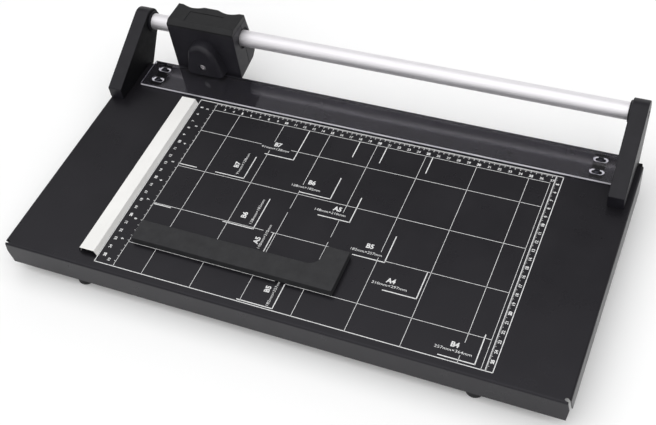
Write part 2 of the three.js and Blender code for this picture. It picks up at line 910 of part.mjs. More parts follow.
// The sides lean in by the flare up to where they touch the round top
function archOutline(wall, bottom) {
  const lean = Math.atan(coverFlare);
  const radius = coverTopRadius - wall;
  const touchHeight = coverArchCentre + radius * Math.sin(lean);
  const reach = radius * Math.cos(lean) + (touchHeight - bottom) * coverFlare;
  const outline = new THREE.Shape();
  outline.moveTo(cutterCentre - reach, bottom);
  outline.lineTo(cutterCentre + reach, bottom);
  outline.absarc(cutterCentre, coverArchCentre, radius, lean, halfTurn - lean, false);
  outline.closePath();
  return outline;
}

function bladeCover() {
  const low = -2 * coverEdgeRadius;
  const blank = alongY(archOutline(0, low), coverFrontY, headFrontY + 2 * coverEdgeRadius,
    coverEdgeRadius, smallRoundSteps);
  const below = block(headLeftX, headRightX, coverFrontY - overrun, headFrontY, 2 * low,
    coverBottom);
  const behind = block(headLeftX, headRightX, headFrontY, headRearY, 2 * low, headTop);
  const bladeRoom = alongY(archOutline(coverSideWall, -overrun),
    headFrontY - coverBladeRoom, headFrontY + overrun);
  const hubRoom = rod(coverHubRadius, coverReach - coverFrontWall + overrun, yAxis,
    at(cutterCentre, coverFrontY + coverFrontWall, bladeAxisZ));
  const headDepthHere = axleHeadHeight + axleHeadPlay;
  const sink = rod(axleHeadRadius + axleHeadPlay, headDepthHere + overrun, yAxis,
    at(cutterCentre, coverFrontY - overrun, bladeAxisZ));
  const hole = rod(axleRadius + fitPlay, coverReach, yAxis,
    at(cutterCentre, coverFrontY, bladeAxisZ));
  return cutBy(blank, [behind, below, bladeRoom, hubRoom, sink, hole]);
}

function axleScrew() {
  const seat = coverFrontY + axleHeadHeight + axleHeadPlay;
  const length = headFrontY + headWall + axleNutHeight - seat;
  return panScrew(axleRadius, length, axleHeadRadius, axleHeadHeight, frontward,
    at(cutterCentre, seat, bladeAxisZ));
}

function axleNut() {
  return hexNut(axleNutRadius, axleNutHeight, axleRadius + fitPlay, yAxis,
    at(cutterCentre, headFrontY + headWall, bladeAxisZ));
}

// Blade: a disc with a bevelled edge on a flanged bearing; a coned spring washer stands in front
// and a spacer behind

function bladeDisc() {
  const profile = [
    [bladeBoreRadius + fitPlay, 0],
    [bladeRadius, 0],
    [bladeRadius, bladeThickness * bladeBevel],
    [bladeRadius - bladeThickness, bladeThickness],
    [bladeBoreRadius + fitPlay, bladeThickness],
    [bladeBoreRadius + fitPlay, 0],
  ];
  return turned(profile, yAxis, at(cutterCentre, 0, bladeAxisZ), roundSteps);
}

function bladeBearing() {
  const profile = [
    [axleRadius + fitPlay, -bearingFlangeThickness],
    [bearingFlangeRadius, -bearingFlangeThickness],
    [bearingFlangeRadius, 0],
    [bladeBoreRadius, 0],
    [bladeBoreRadius, bladeThickness],
    [axleRadius + fitPlay, bladeThickness],
    [axleRadius + fitPlay, -bearingFlangeThickness],
  ];
  return turned(profile, yAxis, at(cutterCentre, 0, bladeAxisZ), roundSteps * half);
}

function bladeSpring() {
  const rear = -bearingFlangeThickness - turningGap;
  const front = coverFrontY + coverFrontWall;
  const hole = axleRadius + fitPlay;
  const profile = [
    [hole, front],
    [springTopRadius, front],
    [springRadius, rear - springSheet],
    [springRadius, rear],
    [springRadius - springSheet, rear],
    [hole, front + springSheet],
    [hole, front],
  ];
  return turned(profile, yAxis, at(cutterCentre, 0, bladeAxisZ), roundSteps * half);
}

function bladeSpacer() {
  const front = bladeThickness + turningGap;
  return ring(bearingFlangeRadius, axleRadius + fitPlay, headFrontY - front, yAxis,
    at(cutterCentre, front, bladeAxisZ));
}

// Finishes

const finishes = {
  blackPowderCoat: { color: 0x333338, roughness: 0.55, metalness: 0.1 },
  blackMoulding: { color: 0x2c2c32, roughness: 0.5, metalness: 0 },
  headMoulding: { color: 0x28282b, roughness: 0.45, metalness: 0 },
  capMoulding: { color: 0x303033, roughness: 0.5, metalness: 0 },
  labelFilm: { color: 0x2a2a2d, roughness: 0.4, metalness: 0 },
  whiteCoat: { color: 0xf6f6f8, roughness: 0.5, metalness: 0 },
  satinAluminium: { color: 0xd8d6d8, roughness: 0.3, metalness: 1 },
  bladeSteel: { color: 0xb8bac0, roughness: 0.2, metalness: 1 },
  barSteel: { color: 0x9a9ca2, roughness: 0.35, metalness: 1 },
  zincSteel: { color: 0xa8aab0, roughness: 0.35, metalness: 1 },
  blackScrewSteel: { color: 0x2e2e32, roughness: 0.35, metalness: 0.8 },
  clearAcrylic: { color: 0x8a8894, roughness: 0.08, metalness: 0 },
  stopMoulding: { color: 0x404043, roughness: 0.7, metalness: 0 },
  blackRubber: { color: 0x1e1e20, roughness: 0.85, metalness: 0 },
  greyFelt: { color: 0x4a4a4c, roughness: 0.95, metalness: 0 },
  magnetFerrite: { color: 0x3c3c3e, roughness: 0.6, metalness: 0.2 },
  whiteNylon: { color: 0xe6e4de, roughness: 0.6, metalness: 0 },
  bronze: { color: 0xa57a45, roughness: 0.35, metalness: 1 },
};

// Assembly: the table with all that is fixed to it, the guard strip, the loose stop and the head

const trimmer = new THREE.Group();
trimmer.name = 'paper_trimmer';
trimmer.position.set(0, -outlineCentreY, -groundZ);

function addGroup(name) {
  const group = new THREE.Group();
  group.name = name;
  trimmer.add(group);
  return group;
}

function addPiece(group, name, solid, finish, place = origin) {
  const material = new THREE.MeshStandardMaterial(finishes[finish]);
  const mesh = new THREE.Mesh(geometryFrom(solid), material);
  mesh.name = name;
  mesh.position.copy(place);
  group.add(mesh);
}

function addTable() {
  const table = addGroup('table');
  addPiece(table, 'base_tray', baseTray(), 'blackPowderCoat');
  addPiece(table, 'cutting_bar', cuttingBar(), 'barSteel');
  barScrewXs().forEach((x, step) => {
    const place = at(x, barRearY, -barScrewDrop);
    addPiece(table, `cutting_bar_screw_${step + 1}`, barScrew(), 'zincSteel', place);
  });
  for (const [corner, [x, y]] of Object.entries(footPlaces())) {
    addPiece(table, `foot_${corner}`, rubberFoot(), 'blackRubber', at(x, y, groundZ));
    const root = at(x, y, -sheetThickness);
    addPiece(table, `foot_stud_${corner}`, footStud(), 'zincSteel', root);
  }
}

function addFence() {
  const fence = addGroup('fence');
  addPiece(fence, 'side_fence', sideFence(), 'whiteCoat');
  for (const [end, [x, y]] of Object.entries(fenceScrewPlaces())) {
    addPiece(fence, `fence_block_${end}`, fenceBlock(), 'whiteNylon', at(x, y, 0));
    const seat = at(x, y, -sheetThickness);
    addPiece(fence, `fence_screw_${end}`, fenceScrew(), 'zincSteel', seat);
  }
}

function addRail() {
  const rail = addGroup('rail');
  addPiece(rail, 'left_bracket', endBracket(bracketOuterLeft, 1), 'blackMoulding');
  addPiece(rail, 'right_bracket', endBracket(bracketOuterRight, -1), 'blackMoulding');
  for (const [corner, [x, y]] of Object.entries(bracketScrewPlaces())) {
    const seat = at(x, y, -sheetThickness);
    addPiece(rail, `bracket_screw_${corner}`, bracketScrew(), 'zincSteel', seat);
  }
  addPiece(rail, 'rail_tube', railTube(), 'satinAluminium');
  addPiece(rail, 'tube_plug_left', tubePlug(railLeftX, 1), 'whiteNylon');
  addPiece(rail, 'tube_plug_right', tubePlug(railRightX, -1), 'whiteNylon');
  const leftSeat = at(bracketOuterLeft + axleHeadHeight, railBehindCut, railAboveTable);
  const rightSeat = at(bracketOuterRight - axleHeadHeight, railBehindCut, railAboveTable);
  addPiece(rail, 'tube_end_screw_left', tubeEndScrew(leftward), 'blackScrewSteel', leftSeat);
  addPiece(rail, 'tube_end_screw_right', tubeEndScrew(xAxis), 'blackScrewSteel', rightSeat);
}

function addGuard() {
  const guard = addGroup('guard');
  addPiece(guard, 'guard_strip', guardStrip(), 'clearAcrylic');
  const slots = guardSlotPlaces();
  for (const [corner, [x, y]] of Object.entries(slots)) {
    const seat = at(x, y, guardScrewSeatZ);
    addPiece(guard, `guard_screw_${corner}`, guardScrew(), 'blackScrewSteel', seat);
  }
  const middleY = (slots.left_rear[1] + slots.left_front[1]) * half;
  const leftPlace = at(slots.left_rear[0], middleY, 0);
  const rightPlace = at(slots.right_rear[0], middleY, 0);
  addPiece(guard, 'guard_spacer_left', guardSpacer(), 'blackMoulding', leftPlace);
  addPiece(guard, 'guard_spacer_right', guardSpacer(), 'blackMoulding', rightPlace);
}

function addStop() {
  const stop = addGroup('stop');
  addPiece(stop, 'stop_block', stopBlock(), 'stopMoulding');
  for (const [end, [x, y]] of Object.entries(magnetPlaces())) {
    const place = at(x, y, feltThickness);
    addPiece(stop, `stop_magnet_${end}`, stopMagnet(), 'magnetFerrite', place);
  }
  addPiece(stop, 'stop_felt', stopFelt(), 'greyFelt');
}

function addHead() {
  const head = addGroup('head');
  addPiece(head, 'head_front_shell', frontShell(), 'headMoulding');
  addPiece(head, 'head_rear_shell', rearShell(), 'headMoulding');
  for (const [corner, [x, z]] of Object.entries(shellScrewPlaces())) {
    const seat = at(x, rearFaceY(z) - shellHeadSink, z);
    addPiece(head, `head_shell_screw_${corner}`, shellScrew(z), 'blackScrewSteel', seat);
  }
  addPiece(head, 'head_cap', headCap(), 'capMoulding');
  addPiece(head, 'label_plate', labelPlate(), 'labelFilm');
  addPiece(head, 'slide_bush_left', slideBush(headLeftX, 1), 'headMoulding');
  addPiece(head, 'slide_bush_right', slideBush(headRightX, -1), 'headMoulding');
  addPiece(head, 'blade_cover', bladeCover(), 'headMoulding');
  addPiece(head, 'blade_axle_screw', axleScrew(), 'zincSteel');
  addPiece(head, 'blade_axle_nut', axleNut(), 'zincSteel');
  addPiece(head, 'blade_disc', bladeDisc(), 'bladeSteel');
  addPiece(head, 'blade_bearing', bladeBearing(), 'bronze');
  addPiece(head, 'blade_spring', bladeSpring(), 'zincSteel');
  addPiece(head, 'blade_spacer', bladeSpacer(), 'zincSteel');
}

addTable();
addFence();
addRail();
addGuard();
addStop();
addHead();

export default trimmer;
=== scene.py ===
import math

import bmesh
import bpy
import numpy as np
from mathutils import Matrix, Vector


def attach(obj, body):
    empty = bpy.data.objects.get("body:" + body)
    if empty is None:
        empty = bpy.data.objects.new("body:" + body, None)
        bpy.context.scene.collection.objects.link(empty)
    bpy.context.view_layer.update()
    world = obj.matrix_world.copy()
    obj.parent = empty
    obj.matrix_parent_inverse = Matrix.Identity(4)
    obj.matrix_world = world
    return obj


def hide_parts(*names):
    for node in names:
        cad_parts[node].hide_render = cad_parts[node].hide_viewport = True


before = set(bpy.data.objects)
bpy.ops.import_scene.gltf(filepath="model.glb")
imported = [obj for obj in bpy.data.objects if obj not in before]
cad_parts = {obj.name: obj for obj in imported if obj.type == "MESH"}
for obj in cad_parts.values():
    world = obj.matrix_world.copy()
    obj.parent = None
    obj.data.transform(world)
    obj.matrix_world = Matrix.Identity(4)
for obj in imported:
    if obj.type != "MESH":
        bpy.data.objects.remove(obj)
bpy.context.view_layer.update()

# Sizes are in millimetres. x is zero in the middle of the table, y is zero on the cutting line
# and z is zero on the table top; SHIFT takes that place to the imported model's frame.
MM = 0.001
SHIFT = np.array([0.0, 113.65, 39.5])

# How far a cutting tool runs past what it cuts, the play round a fitted piece, and the rounding
# of an edge that was only broken
OVERRUN = 1.0
PLAY = 0.1
FINE_EDGE = 0.15

# Table
TRAY_HALF = 271.5
TRAY_FRONT = -268.3
TRAY_REAR = -2.3
SHEET = 1.2
BEND = 2.2
RELIEF_RADIUS = 1.9
RELIEF_INSET = 3.6
FLANGE_DEPTH = 27.0
FLANGE_ENDS = ((BEND, 1.9), (11.0, 0.5), (FLANGE_DEPTH, 2.7))
SIDE_FLANGE_ENDS = ((BEND, 4.4), (FLANGE_DEPTH, 12.5))

# Feet
FOOT_RADIUS = 8.5
FOOT_TOP_RADIUS = 7.0
FOOT_TREAD = 1.8
FOOT_SHOULDER = 12.5
FOOT_BOTTOM = -39.5
FOOT_PLACES = {
    "front_left": (-196.0, -257.1),
    "front_right": (190.0, -257.1),
    "rear_left": (-196.0, -14.3),
    "rear_right": (190.0, -14.3),
}

# Cutting bar
BAR_LEFT = -248.0
BAR_RIGHT = 249.0
BAR_FRONT = -2.3
BAR_REAR = -0.3
BAR_HEIGHT = 12.0
BAR_SCREW_X = (-219.5, 0.5, 220.5)
BAR_SCREW_Z = -7.0

# Rail and brackets
RAIL_Y = 22.5
RAIL_Z = 37.2
RAIL_RADIUS = 8.45
RAIL_BORE = 6.95
RAIL_LEFT = -267.25
RAIL_RIGHT = 262.05
BRACKET_LEFT = (-271.05, -255.55)
BRACKET_RIGHT = (250.35, 265.85)
BRACKET_REACH = 62.0
BRACKET_RISE = 13.0
BRACKET_EYE = 13.0
BRACKET_EYE_Y = 21.4
BRACKET_EYE_Z = 38.6
BRACKET_HOOK_DROP = 5.0
BRACKET_HOOK_REACH = 2.4
BRACKET_BORE_DEPTH = 11.7
BRACKET_EDGE = 0.9
BRACKET_NOSE = 1.6
BRACKET_TOE = 0.4
BRACKET_HOOK_CORNER = 0.6
EYE_RING_RADIUS = 10.8
EYE_RING_HEIGHT = 2.0
EYE_RING_CHAMFER = 0.5
END_SCREW_ROOM = 3.9
END_SCREW_DEPTH = 2.2
END_SCREW_SEAT = 2.0
BRACKET_SCREWS = {
    "left_front": (-263.3, -50.0),
    "left_rear": (-263.3, -16.0),
    "right_front": (258.1, -50.0),
    "right_rear": (258.1, -16.0),
}

# Side fence
FENCE_X = -184.2
FENCE_FRONT = -254.0
FENCE_REAR = -46.0
FENCE_BASE = 19.3
FENCE_TOP = 15.4
FENCE_HEIGHT = 6.0
FENCE_WALL = 1.2
FENCE_BEND = 0.7
FENCE_INNER_BEND = 0.3
FENCE_SCREW_Y = {"rear": -70.0, "front": -230.0}

# Clear guard strip; its rear edge keeps back a little from the cut
GUARD_LEFT = -248.0
GUARD_RIGHT = 249.0
GUARD_FRONT = -37.9
GUARD_REAR = -1.5
GUARD_BOTTOM = 1.0
GUARD_TOP = 3.4
GUARD_LEDGE = 2.0
GUARD_CORNER = 0.8
GUARD_RIM = 1.0
GUARD_SLOT = (14.0, 7.0)
GUARD_LEDGE_SLOT = (10.0, 3.8)
GUARD_SCREW_SEAT = 3.1
GUARD_SLOTS = {
    "left_rear": (-232.0, -11.5),
    "left_front": (-232.0, -27.1),
    "right_rear": (233.0, -11.5),
    "right_front": (233.0, -27.1),
}

# Loose stop
STOP_LEFT = -149.5
STOP_RIGHT = 52.5
STOP_FRONT = -229.8
STOP_REAR = -184.8
STOP_ARM = 22.5
STOP_BOTTOM = 0.5
STOP_TOP = 7.5
STOP_CORNER = 1.5
STOP_HOLLOW = 11.0
STOP_END_CORNER = 0.6
STOP_LOW_EDGE = 0.2
STOP_TOP_EDGE = 0.5
FELT_INSET = 1.5
FELT_LIFT = 0.05

# Cutter head
HEAD_LEFT = -223.8
HEAD_RIGHT = -147.3
HEAD_X = -185.55
HEAD_FRONT = 2.5
HEAD_BACK = 41.0
HEAD_FRONT_BOTTOM = -2.2
HEAD_BOTTOM = 2.5
HEAD_LOW = 9.5
HEAD_SHOULDER_Y = 36.0
HEAD_SHOULDER_Z = 41.0
HEAD_BODY_TOP = 54.0
HEAD_TOP = 59.6
HEAD_TOP_REAR = 33.0
HEAD_CHAMFER = 8.0
HEAD_SEAM = 0.25
HEAD_RIM = 0.3
HEAD_TOE = 1.0
HEAD_HEEL = 1.5
HEAD_LOW_CORNER = 2.0
HEAD_SHOULDER_BEND = 6.0
HEAD_END_EDGE = 0.8
CAP_RIM = 0.2
CAP_REAR_EDGE = 0.9
CAP_ROOF_BEND = 6.0
CAP_FRONT_EDGE = 0.8
CAP_END_EDGE = 0.5
CAP_FRONT_RISE = 2.2
CAP_SLOPE = 4.7
SCOOP_RADIUS = 34.0
SCOOP_DEPTH = 2.7
SCOOP_SPREAD = 20.5
LABEL_LENGTH = 40.0
LABEL_FRONT = 8.1
LABEL_REAR = 23.6
LABEL_SINK = 1.0
LABEL_FILM = 0.7
LABEL_CORNER = 1.0
BUSH_RADIUS = 11.0
BUSH_BORE = 8.6
BUSH_RECESS = 1.0
BUSH_LENGTH = 13.0
BUSH_CHAMFER = 0.5
SHELL_SCREWS = {
    "low_left": (-216.8, 10.5),
    "low_right": (-154.3, 10.5),
    "high_left": (-216.8, 51.0),
    "high_right": (-154.3, 51.0),
}
SHELL_SCREW_SINK = 3.0
SHELL_SCREW_END = 13.5

# Blade cover and blade
CUTTER_X = -184.3
COVER_TOP_RADIUS = 15.7
COVER_ARCH_Z = 26.7
COVER_FLARE = 0.23
COVER_BOTTOM = 4.8
COVER_FRONT = -10.0
COVER_EDGE = 4.5
COVER_ROOM_FRONT = -0.8
COVER_WALL = 1.3
COVER_SPARE = 2 * COVER_EDGE
HUB_ROOM_FRONT = -5.0
HUB_ROOM_RADIUS = 8.0
AXLE_ROOM_RADIUS = 4.0
AXLE_SEAT = 2.4
BLADE_Z = 15.3
BLADE_RADIUS = 16.5
BLADE_BORE = 4.1
BLADE_THICKNESS = 1.0
BLADE_LAND = 0.35
BLADE_BEVEL = 1.0

# Screws: the shank's radius, the length, the head's radius and its height
BAR_SCREW = (1.5, 4.9, 2.8, 1.7)
BRACKET_SCREW = (2.0, 13.1, 3.8, 2.6)
FENCE_SCREW = (1.5, 3.84, 2.8, 1.7)
GUARD_SCREW = (1.5, 6.0, 2.8, 1.3)
RAIL_SCREW = (2.5, 15.0, 3.6, 2.0)
AXLE_SCREW = (2.5, 16.3, 3.8, 2.0)
SHELL_SCREW_SHANK = 1.5
SHELL_SCREW_HEAD = 2.8
SHELL_SCREW_HEIGHT = 1.7
CROWN_WALL_SHARE = 0.45
RECESS_REACH_SHARE = 0.6
RECESS_DEPTH_SHARE = 0.6
RECESS_WIDTH_SHARE = 0.26
RECESS_FLOOR_SHARE = 0.55
RECESS_MOUTH_SHARE = 1.1
RECESS_DEPTH_LIMIT = 1.4
RECESS_OVERRUN = 0.6

# Printed rulings: where their own zero stands, and the ink's upper and lower face
FIELD_LEFT = -174.0
INK_TOP = 0.03
INK_SUNK = -0.02

# Turns and smoothness: how many steps take up a full turn, or one bend
QUARTER = math.pi / 2
ROUND = 64
RAIL_ROUND = 96
BLADE_ROUND = 128
SCOOP_ROUND = 180
SCREW_ROUND = 32
SINK_ROUND = 48
SHELL_SINK_ROUND = 40
BEND_STEPS = 10
TREAD_STEPS = 6
EYE_STEPS = 28
SLOT_STEPS = 12
ARCH_STEPS = 40
COVER_EDGE_STEPS = 12
DOME_STEPS = 5
CREASE = math.radians(32)
MERGE_REACH = 0.002
LEAST_RADIUS = 0.001

# A face counts as facing a way, or as turned towards it, past this share of its direction, and
# as lying at a height within this reach
FACING = 0.9
TURNED = 0.5
SLOT_FRONT_TURNED = 0.3
LEVEL_REACH = 0.05


# Points and faces

def grid_faces(rows, columns, wrap_rows=False, wrap_columns=False):
    """Quads of a grid: each joins a point with its neighbours in the next row and column."""
    down = np.arange(rows if wrap_rows else rows - 1)
    along = np.arange(columns if wrap_columns else columns - 1)
    row, column = np.meshgrid(down, along, indexing="ij")
    next_row = (row + 1) % rows
    next_column = (column + 1) % columns
    corners = [
        row * columns + column,
        row * columns + next_column,
        next_row * columns + next_column,
        next_row * columns + column,
    ]
    return np.stack(corners, -1).reshape(-1, 4).tolist()


def inset(outline, distance):
    """The outline drawn in: each corner moves along the line that halves its angle. A corner
    with a radius, its third number, loses the distance from it, and a hollow one gains it."""
    outline = np.array(outline, float)
    place = outline[:, :2]
    ahead = np.roll(place, -1, axis=0) - place
    ahead = ahead / np.linalg.norm(ahead, axis=1, keepdims=True)
    normal = np.column_stack([-ahead[:, 1], ahead[:, 0]])
    before = np.roll(normal, 1, axis=0)
    shared = 1.0 + np.sum(normal * before, axis=1, keepdims=True)
    moved = place + distance * (normal + before) / shared
    if outline.shape[1] == 2:
        return moved
    bend = np.roll(ahead, 1, axis=0)
    outwards = bend[:, 0] * ahead[:, 1] - bend[:, 1] * ahead[:, 0] > 0
    radius = outline[:, 2] - np.where(outwards, distance, -distance)
    radius = np.where(outline[:, 2] > 0, np.maximum(radius, LEAST_RADIUS), 0)
    return np.column_stack([moved, radius])


def rounded(corners, steps=6):
    """An outline through corners (across, up, radius), each turned into an arc that touches
    both of its sides: the arc swings from one touching point to the other round its centre."""
    places, radii = corners[:, :2], corners[:, 2]
    outline = []
    for place, before, after, radius in zip(
            places, np.roll(places, 1, axis=0), np.roll(places, -1, axis=0), radii):
        if radius <= 0:
            outline.append(place[None, :])
            continue
        back = (before - place) / np.linalg.norm(before - place)
        on = (after - place) / np.linalg.norm(after - place)
        half = math.acos(np.clip(back @ on, -1, 1)) / 2
        centre = place + (back + on) / np.linalg.norm(back + on) * radius / math.sin(half)
        start = place + back * radius / math.tan(half) - centre
        end = place + on * radius / math.tan(half) - centre
        swing = math.pi - 2 * half
        share = np.linspace(0, 1, steps + 1)[:, None]
        swung = np.sin((1 - share) * swing) * start + np.sin(share * swing) * end
        outline.append(centre + swung / math.sin(swing))
    return np.concatenate(outline)


def plain(points):
    """Points as corners without a radius."""
    points = np.array(points, float)
    return np.column_stack([points, np.zeros(len(points))])


def carried(corners, axis, start, end, edges=(0.0, 0.0), steps=4):
    """An outline of (across, up, radius) corners carried along an axis. Near an end with an
    edge radius its rings draw in along a quarter circle: in by one less the sine, on by one
    less the cosine."""
    turn = np.linspace(0, QUARTER, steps + 1)
    draw, run = 1 - np.sin(turn), 1 - np.cos(turn)
    near = [(edges[0] * d, start + edges[0] * r) for d, r in zip(draw, run)]
    far = [(edges[1] * d, end - edges[1] * r) for d, r in zip(draw, run)]
    rings = (near if edges[0] else near[:1]) + (far if edges[1] else far[:1])[::-1]
    flat = np.stack([rounded(inset(corners, distance)) for distance, _ in rings])
    count = flat.shape[1]
    along = np.repeat(np.array([place for _, place in rings])[:, None], count, axis=1)
    order = {"x": (along, flat[..., 0], flat[..., 1]), "y": (flat[..., 0], along, flat[..., 1]),
             "z": (flat[..., 0], flat[..., 1], along)}[axis]
    points = np.stack(order, -1).reshape(-1, 3)
    faces = grid_faces(len(rings), count, wrap_columns=True)
    faces.append(list(range(count)))
    faces.append(list(range(len(points) - count, len(points))))
    return points, faces


def square_to(along):
    """A unit direction at right angles to another."""
    upwards = abs(along[2]) >= FACING
    helper = np.array([1.0, 0.0, 0.0]) if upwards else np.array([0.0, 0.0, 1.0])
    side = np.cross(helper, along)
    return side / np.linalg.norm(side)


def revolved(profile, place, direction, steps=ROUND):
    """A profile of (radius, distance) pairs turned round an axis through a place: radius times
    the cosine and sine of the angle across the axis, and the distance along it."""
    along = np.array(direction, float)
    side = square_to(along)
    third = np.cross(along, side)
    radius, distance = np.array(profile, float).T
    closed = bool(np.allclose(profile[0], profile[-1]))
    if closed:
        radius, distance = radius[:-1], distance[:-1]
    angle = np.linspace(0, 2 * math.pi, steps, endpoint=False)
    around = np.cos(angle)[:, None] * side + np.sin(angle)[:, None] * third
    points = radius[:, None, None] * around + distance[:, None, None] * along
    points = (points + np.array(place, float)).reshape(-1, 3)
    return points, grid_faces(len(radius), steps, closed, True)


def rod(radius, start, end, place, direction, steps=ROUND):
    """A round bar from one distance to another along its axis: a rectangle turned round it."""
    return revolved([(0, start), (radius, start), (radius, end), (0, end)], place, direction,
                    steps)


def arc(centre, radius, start, end, steps=8):
    """Points on a circle from one angle to another, in degrees."""
    angle = np.radians(np.linspace(start, end, steps + 1))
    return np.column_stack([centre[0] + radius * np.cos(angle),
                            centre[1] + radius * np.sin(angle)])


def together(parts):
    """Several sets of points and faces as one."""
    points, faces, count = [], [], 0
    for part_points, part_faces in parts:
        points.append(part_points)
        faces.extend([[corner + count for corner in face] for face in part_faces])
        count += len(part_points)
    return np.concatenate(points), faces


# Objects

def shade(mesh):
    """Smooth faces with sharp edges where two faces meet at more than the crease angle."""
    mesh.shade_smooth()
    mesh.set_sharp_from_angle(angle=CREASE)


def raw(name, shape):
    """An object from points and faces, with its doubles merged and its faces outwards."""
    points, faces = shape
    mesh = bpy.data.meshes.new(name)
    mesh.from_pydata(((points + SHIFT) * MM).tolist(), [], faces)
    whole = bmesh.new()
    whole.from_mesh(mesh)
    bmesh.ops.remove_doubles(whole, verts=whole.verts, dist=MERGE_REACH * MM)
    bmesh.ops.recalc_face_normals(whole, faces=whole.faces)
    whole.to_mesh(mesh)
    whole.free()
    shade(mesh)
    made = bpy.data.objects.new(name, mesh)
    bpy.context.scene.collection.objects.link(made)
    return made


def settled(made):
    """Applies an object's modifiers to its mesh."""
    graph = bpy.context.evaluated_depsgraph_get()
    mesh = bpy.data.meshes.new_from_object(made.evaluated_get(graph))
    made.modifiers.clear()
    made.data = mesh
    shade(mesh)


def cut(made, shapes, operation="DIFFERENCE"):
    """Cuts shapes out of an object, or joins them to it, and keeps the result as its mesh."""
    tools = []
    for number, shape in enumerate(shapes):
        tool = raw(f"{made.name}_tool_{number}", shape)
        boolean = made.modifiers.new("cut", "BOOLEAN")
        boolean.operation = operation
        boolean.solver = "EXACT"
        boolean.object = tool
        tools.append(tool)
    settled(made)
    for tool in tools:
        bpy.data.objects.remove(tool)


def dressed(made, body, slot, *finishes, replaces=(), even=True):
    """Gives a finished object its materials and the body that it rides on, and hides the CAD
    nodes that it replaces.
    """
    made.data.materials.clear()
    for material in finishes:
        made.data.materials.append(material)
    if even:
        evened = made.modifiers.new("even_light", "WEIGHTED_NORMAL")
        evened.keep_sharp = True
    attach(made, body)
    if replaces:
        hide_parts(*replaces)
    return made


def face_sides(mesh):
    """Each face's direction, and its middle in this script's millimetres."""
    normals, centres = np.zeros(len(mesh.polygons) * 3), np.zeros(len(mesh.polygons) * 3)
    mesh.polygons.foreach_get("normal", normals)
    mesh.polygons.foreach_get("center", centres)
    return normals.reshape(-1, 3), centres.reshape(-1, 3) / MM - SHIFT


def faces_finished(mesh, kinds):
    """Gives each face the material of its kind: 0 is the first one, 1 the second."""
    mesh.polygons.foreach_set("material_index", kinds.astype(np.int32))


# Materials

NOISE_LOW = 0.3
NOISE_HIGH = 0.7


def colour(code):
    """An sRGB hex value as linear light: a straight line near black and a power above it."""
    parts = np.array([int(code[place:place + 2], 16) for place in (1, 3, 5)]) / 255
    linear = np.where(parts <= 0.04045, parts / 12.92, ((parts + 0.055) / 1.055) ** 2.4)
    return (*linear.tolist(), 1.0)


def add_node(tree, kind, inputs=None, **settings):
    """Adds a node with its settings; an input is a value or another node's output."""
    made = tree.nodes.new(kind)
    for name, value in settings.items():
        setattr(made, name, value)
    for name, value in (inputs or {}).items():
        if isinstance(value, bpy.types.NodeSocket):
            tree.links.new(value, made.inputs[name])
        else:
            made.inputs[name].default_value = value
    return made


def noise(tree, size, detail, stretch=None):
    """Noise with features of a real size in millimetres, drawn out along the axes if asked."""
    place = add_node(tree, "ShaderNodeTexCoord").outputs["Object"]
    if stretch:
        place = add_node(tree, "ShaderNodeMapping", {"Vector": place, "Scale": stretch}).outputs[0]
    return add_node(tree, "ShaderNodeTexNoise",
                    {"Vector": place, "Scale": 1 / (size * MM), "Detail": detail}).outputs["Fac"]


def tinted(tree, shader, dark, light, low=0.35, high=0.65, **grain):
    """Lets the base colour wander between two close colours with the noise."""
    ramp = add_node(tree, "ShaderNodeValToRGB", {"Fac": noise(tree, **grain)})
    ramp.color_ramp.elements[0].position = low
    ramp.color_ramp.elements[0].color = colour(dark)
    ramp.color_ramp.elements[1].position = high
    ramp.color_ramp.elements[1].color = colour(light)
    tree.links.new(ramp.outputs["Color"], shader.inputs["Base Color"])


def gloss_varied(tree, shader, low, high, **grain):
    """Lets the roughness wander between two values, over the range that most of the noise
    keeps to."""
    spread = add_node(tree, "ShaderNodeMapRange",
                      {"Value": noise(tree, **grain), "From Min": NOISE_LOW,
                       "From Max": NOISE_HIGH, "To Min": low, "To Max": high})
    tree.links.new(spread.outputs["Result"], shader.inputs["Roughness"])


def bumped(tree, shader, depth, strength, **grain):
    """Raises the surface by the noise, to a real depth in millimetres."""
    bump = add_node(tree, "ShaderNodeBump",
                    {"Height": noise(tree, **grain), "Distance": depth * MM,
                     "Strength": strength})
    tree.links.new(bump.outputs["Normal"], shader.inputs["Normal"])


def finish(name, tint=None, gloss=None, relief=None, **sockets):
    """A material with one principled shader. The sockets hold the values that are the same all
    over it, and its colour, roughness and height can each wander with noise of its own."""
    material = bpy.data.materials.new(name)
    material.use_nodes = True
    tree = material.node_tree
    shader = tree.nodes["Principled BSDF"]
    for socket, value in sockets.items():
        shader.inputs[socket.replace("_", " ")].default_value = value
    for pattern, laid in ((tint, tinted), (gloss, gloss_varied), (relief, bumped)):
        if pattern:
            laid(tree, shader, **pattern)
    return material


def grained_abs(name, dark, light, low, high, sheen):
    # Moulded ABS from a spark-eroded tool: fine grain that softens its highlights
    return finish(
        name, Specular_IOR_Level=sheen,
        tint=dict(size=14, detail=3, dark=dark, light=light),
        gloss=dict(size=6, detail=3, low=low, high=high),
        relief=dict(size=0.5, detail=2, depth=0.02, strength=0.5))


def sawn_acrylic(name, dark, light, sheen):
    # The sheet's milled edges: frosted and almost white; a dark copy paints the bar's shade on the
    # rear edge
    return finish(
        name, Roughness=0.5, IOR=1.49, Specular_IOR_Level=sheen,
        tint=dict(size=1.5, detail=3, stretch=(0.05, 1, 1), dark=dark, light=light))


def plated_steel(name, dark, light, low, high):
    # Plated screw steel: bright or blackened, with a slightly uneven bath finish
    return finish(
        name, Metallic=1.0,
        tint=dict(size=2.5, detail=3, dark=dark, light=light),
        gloss=dict(size=1.2, detail=3, low=low, high=high))


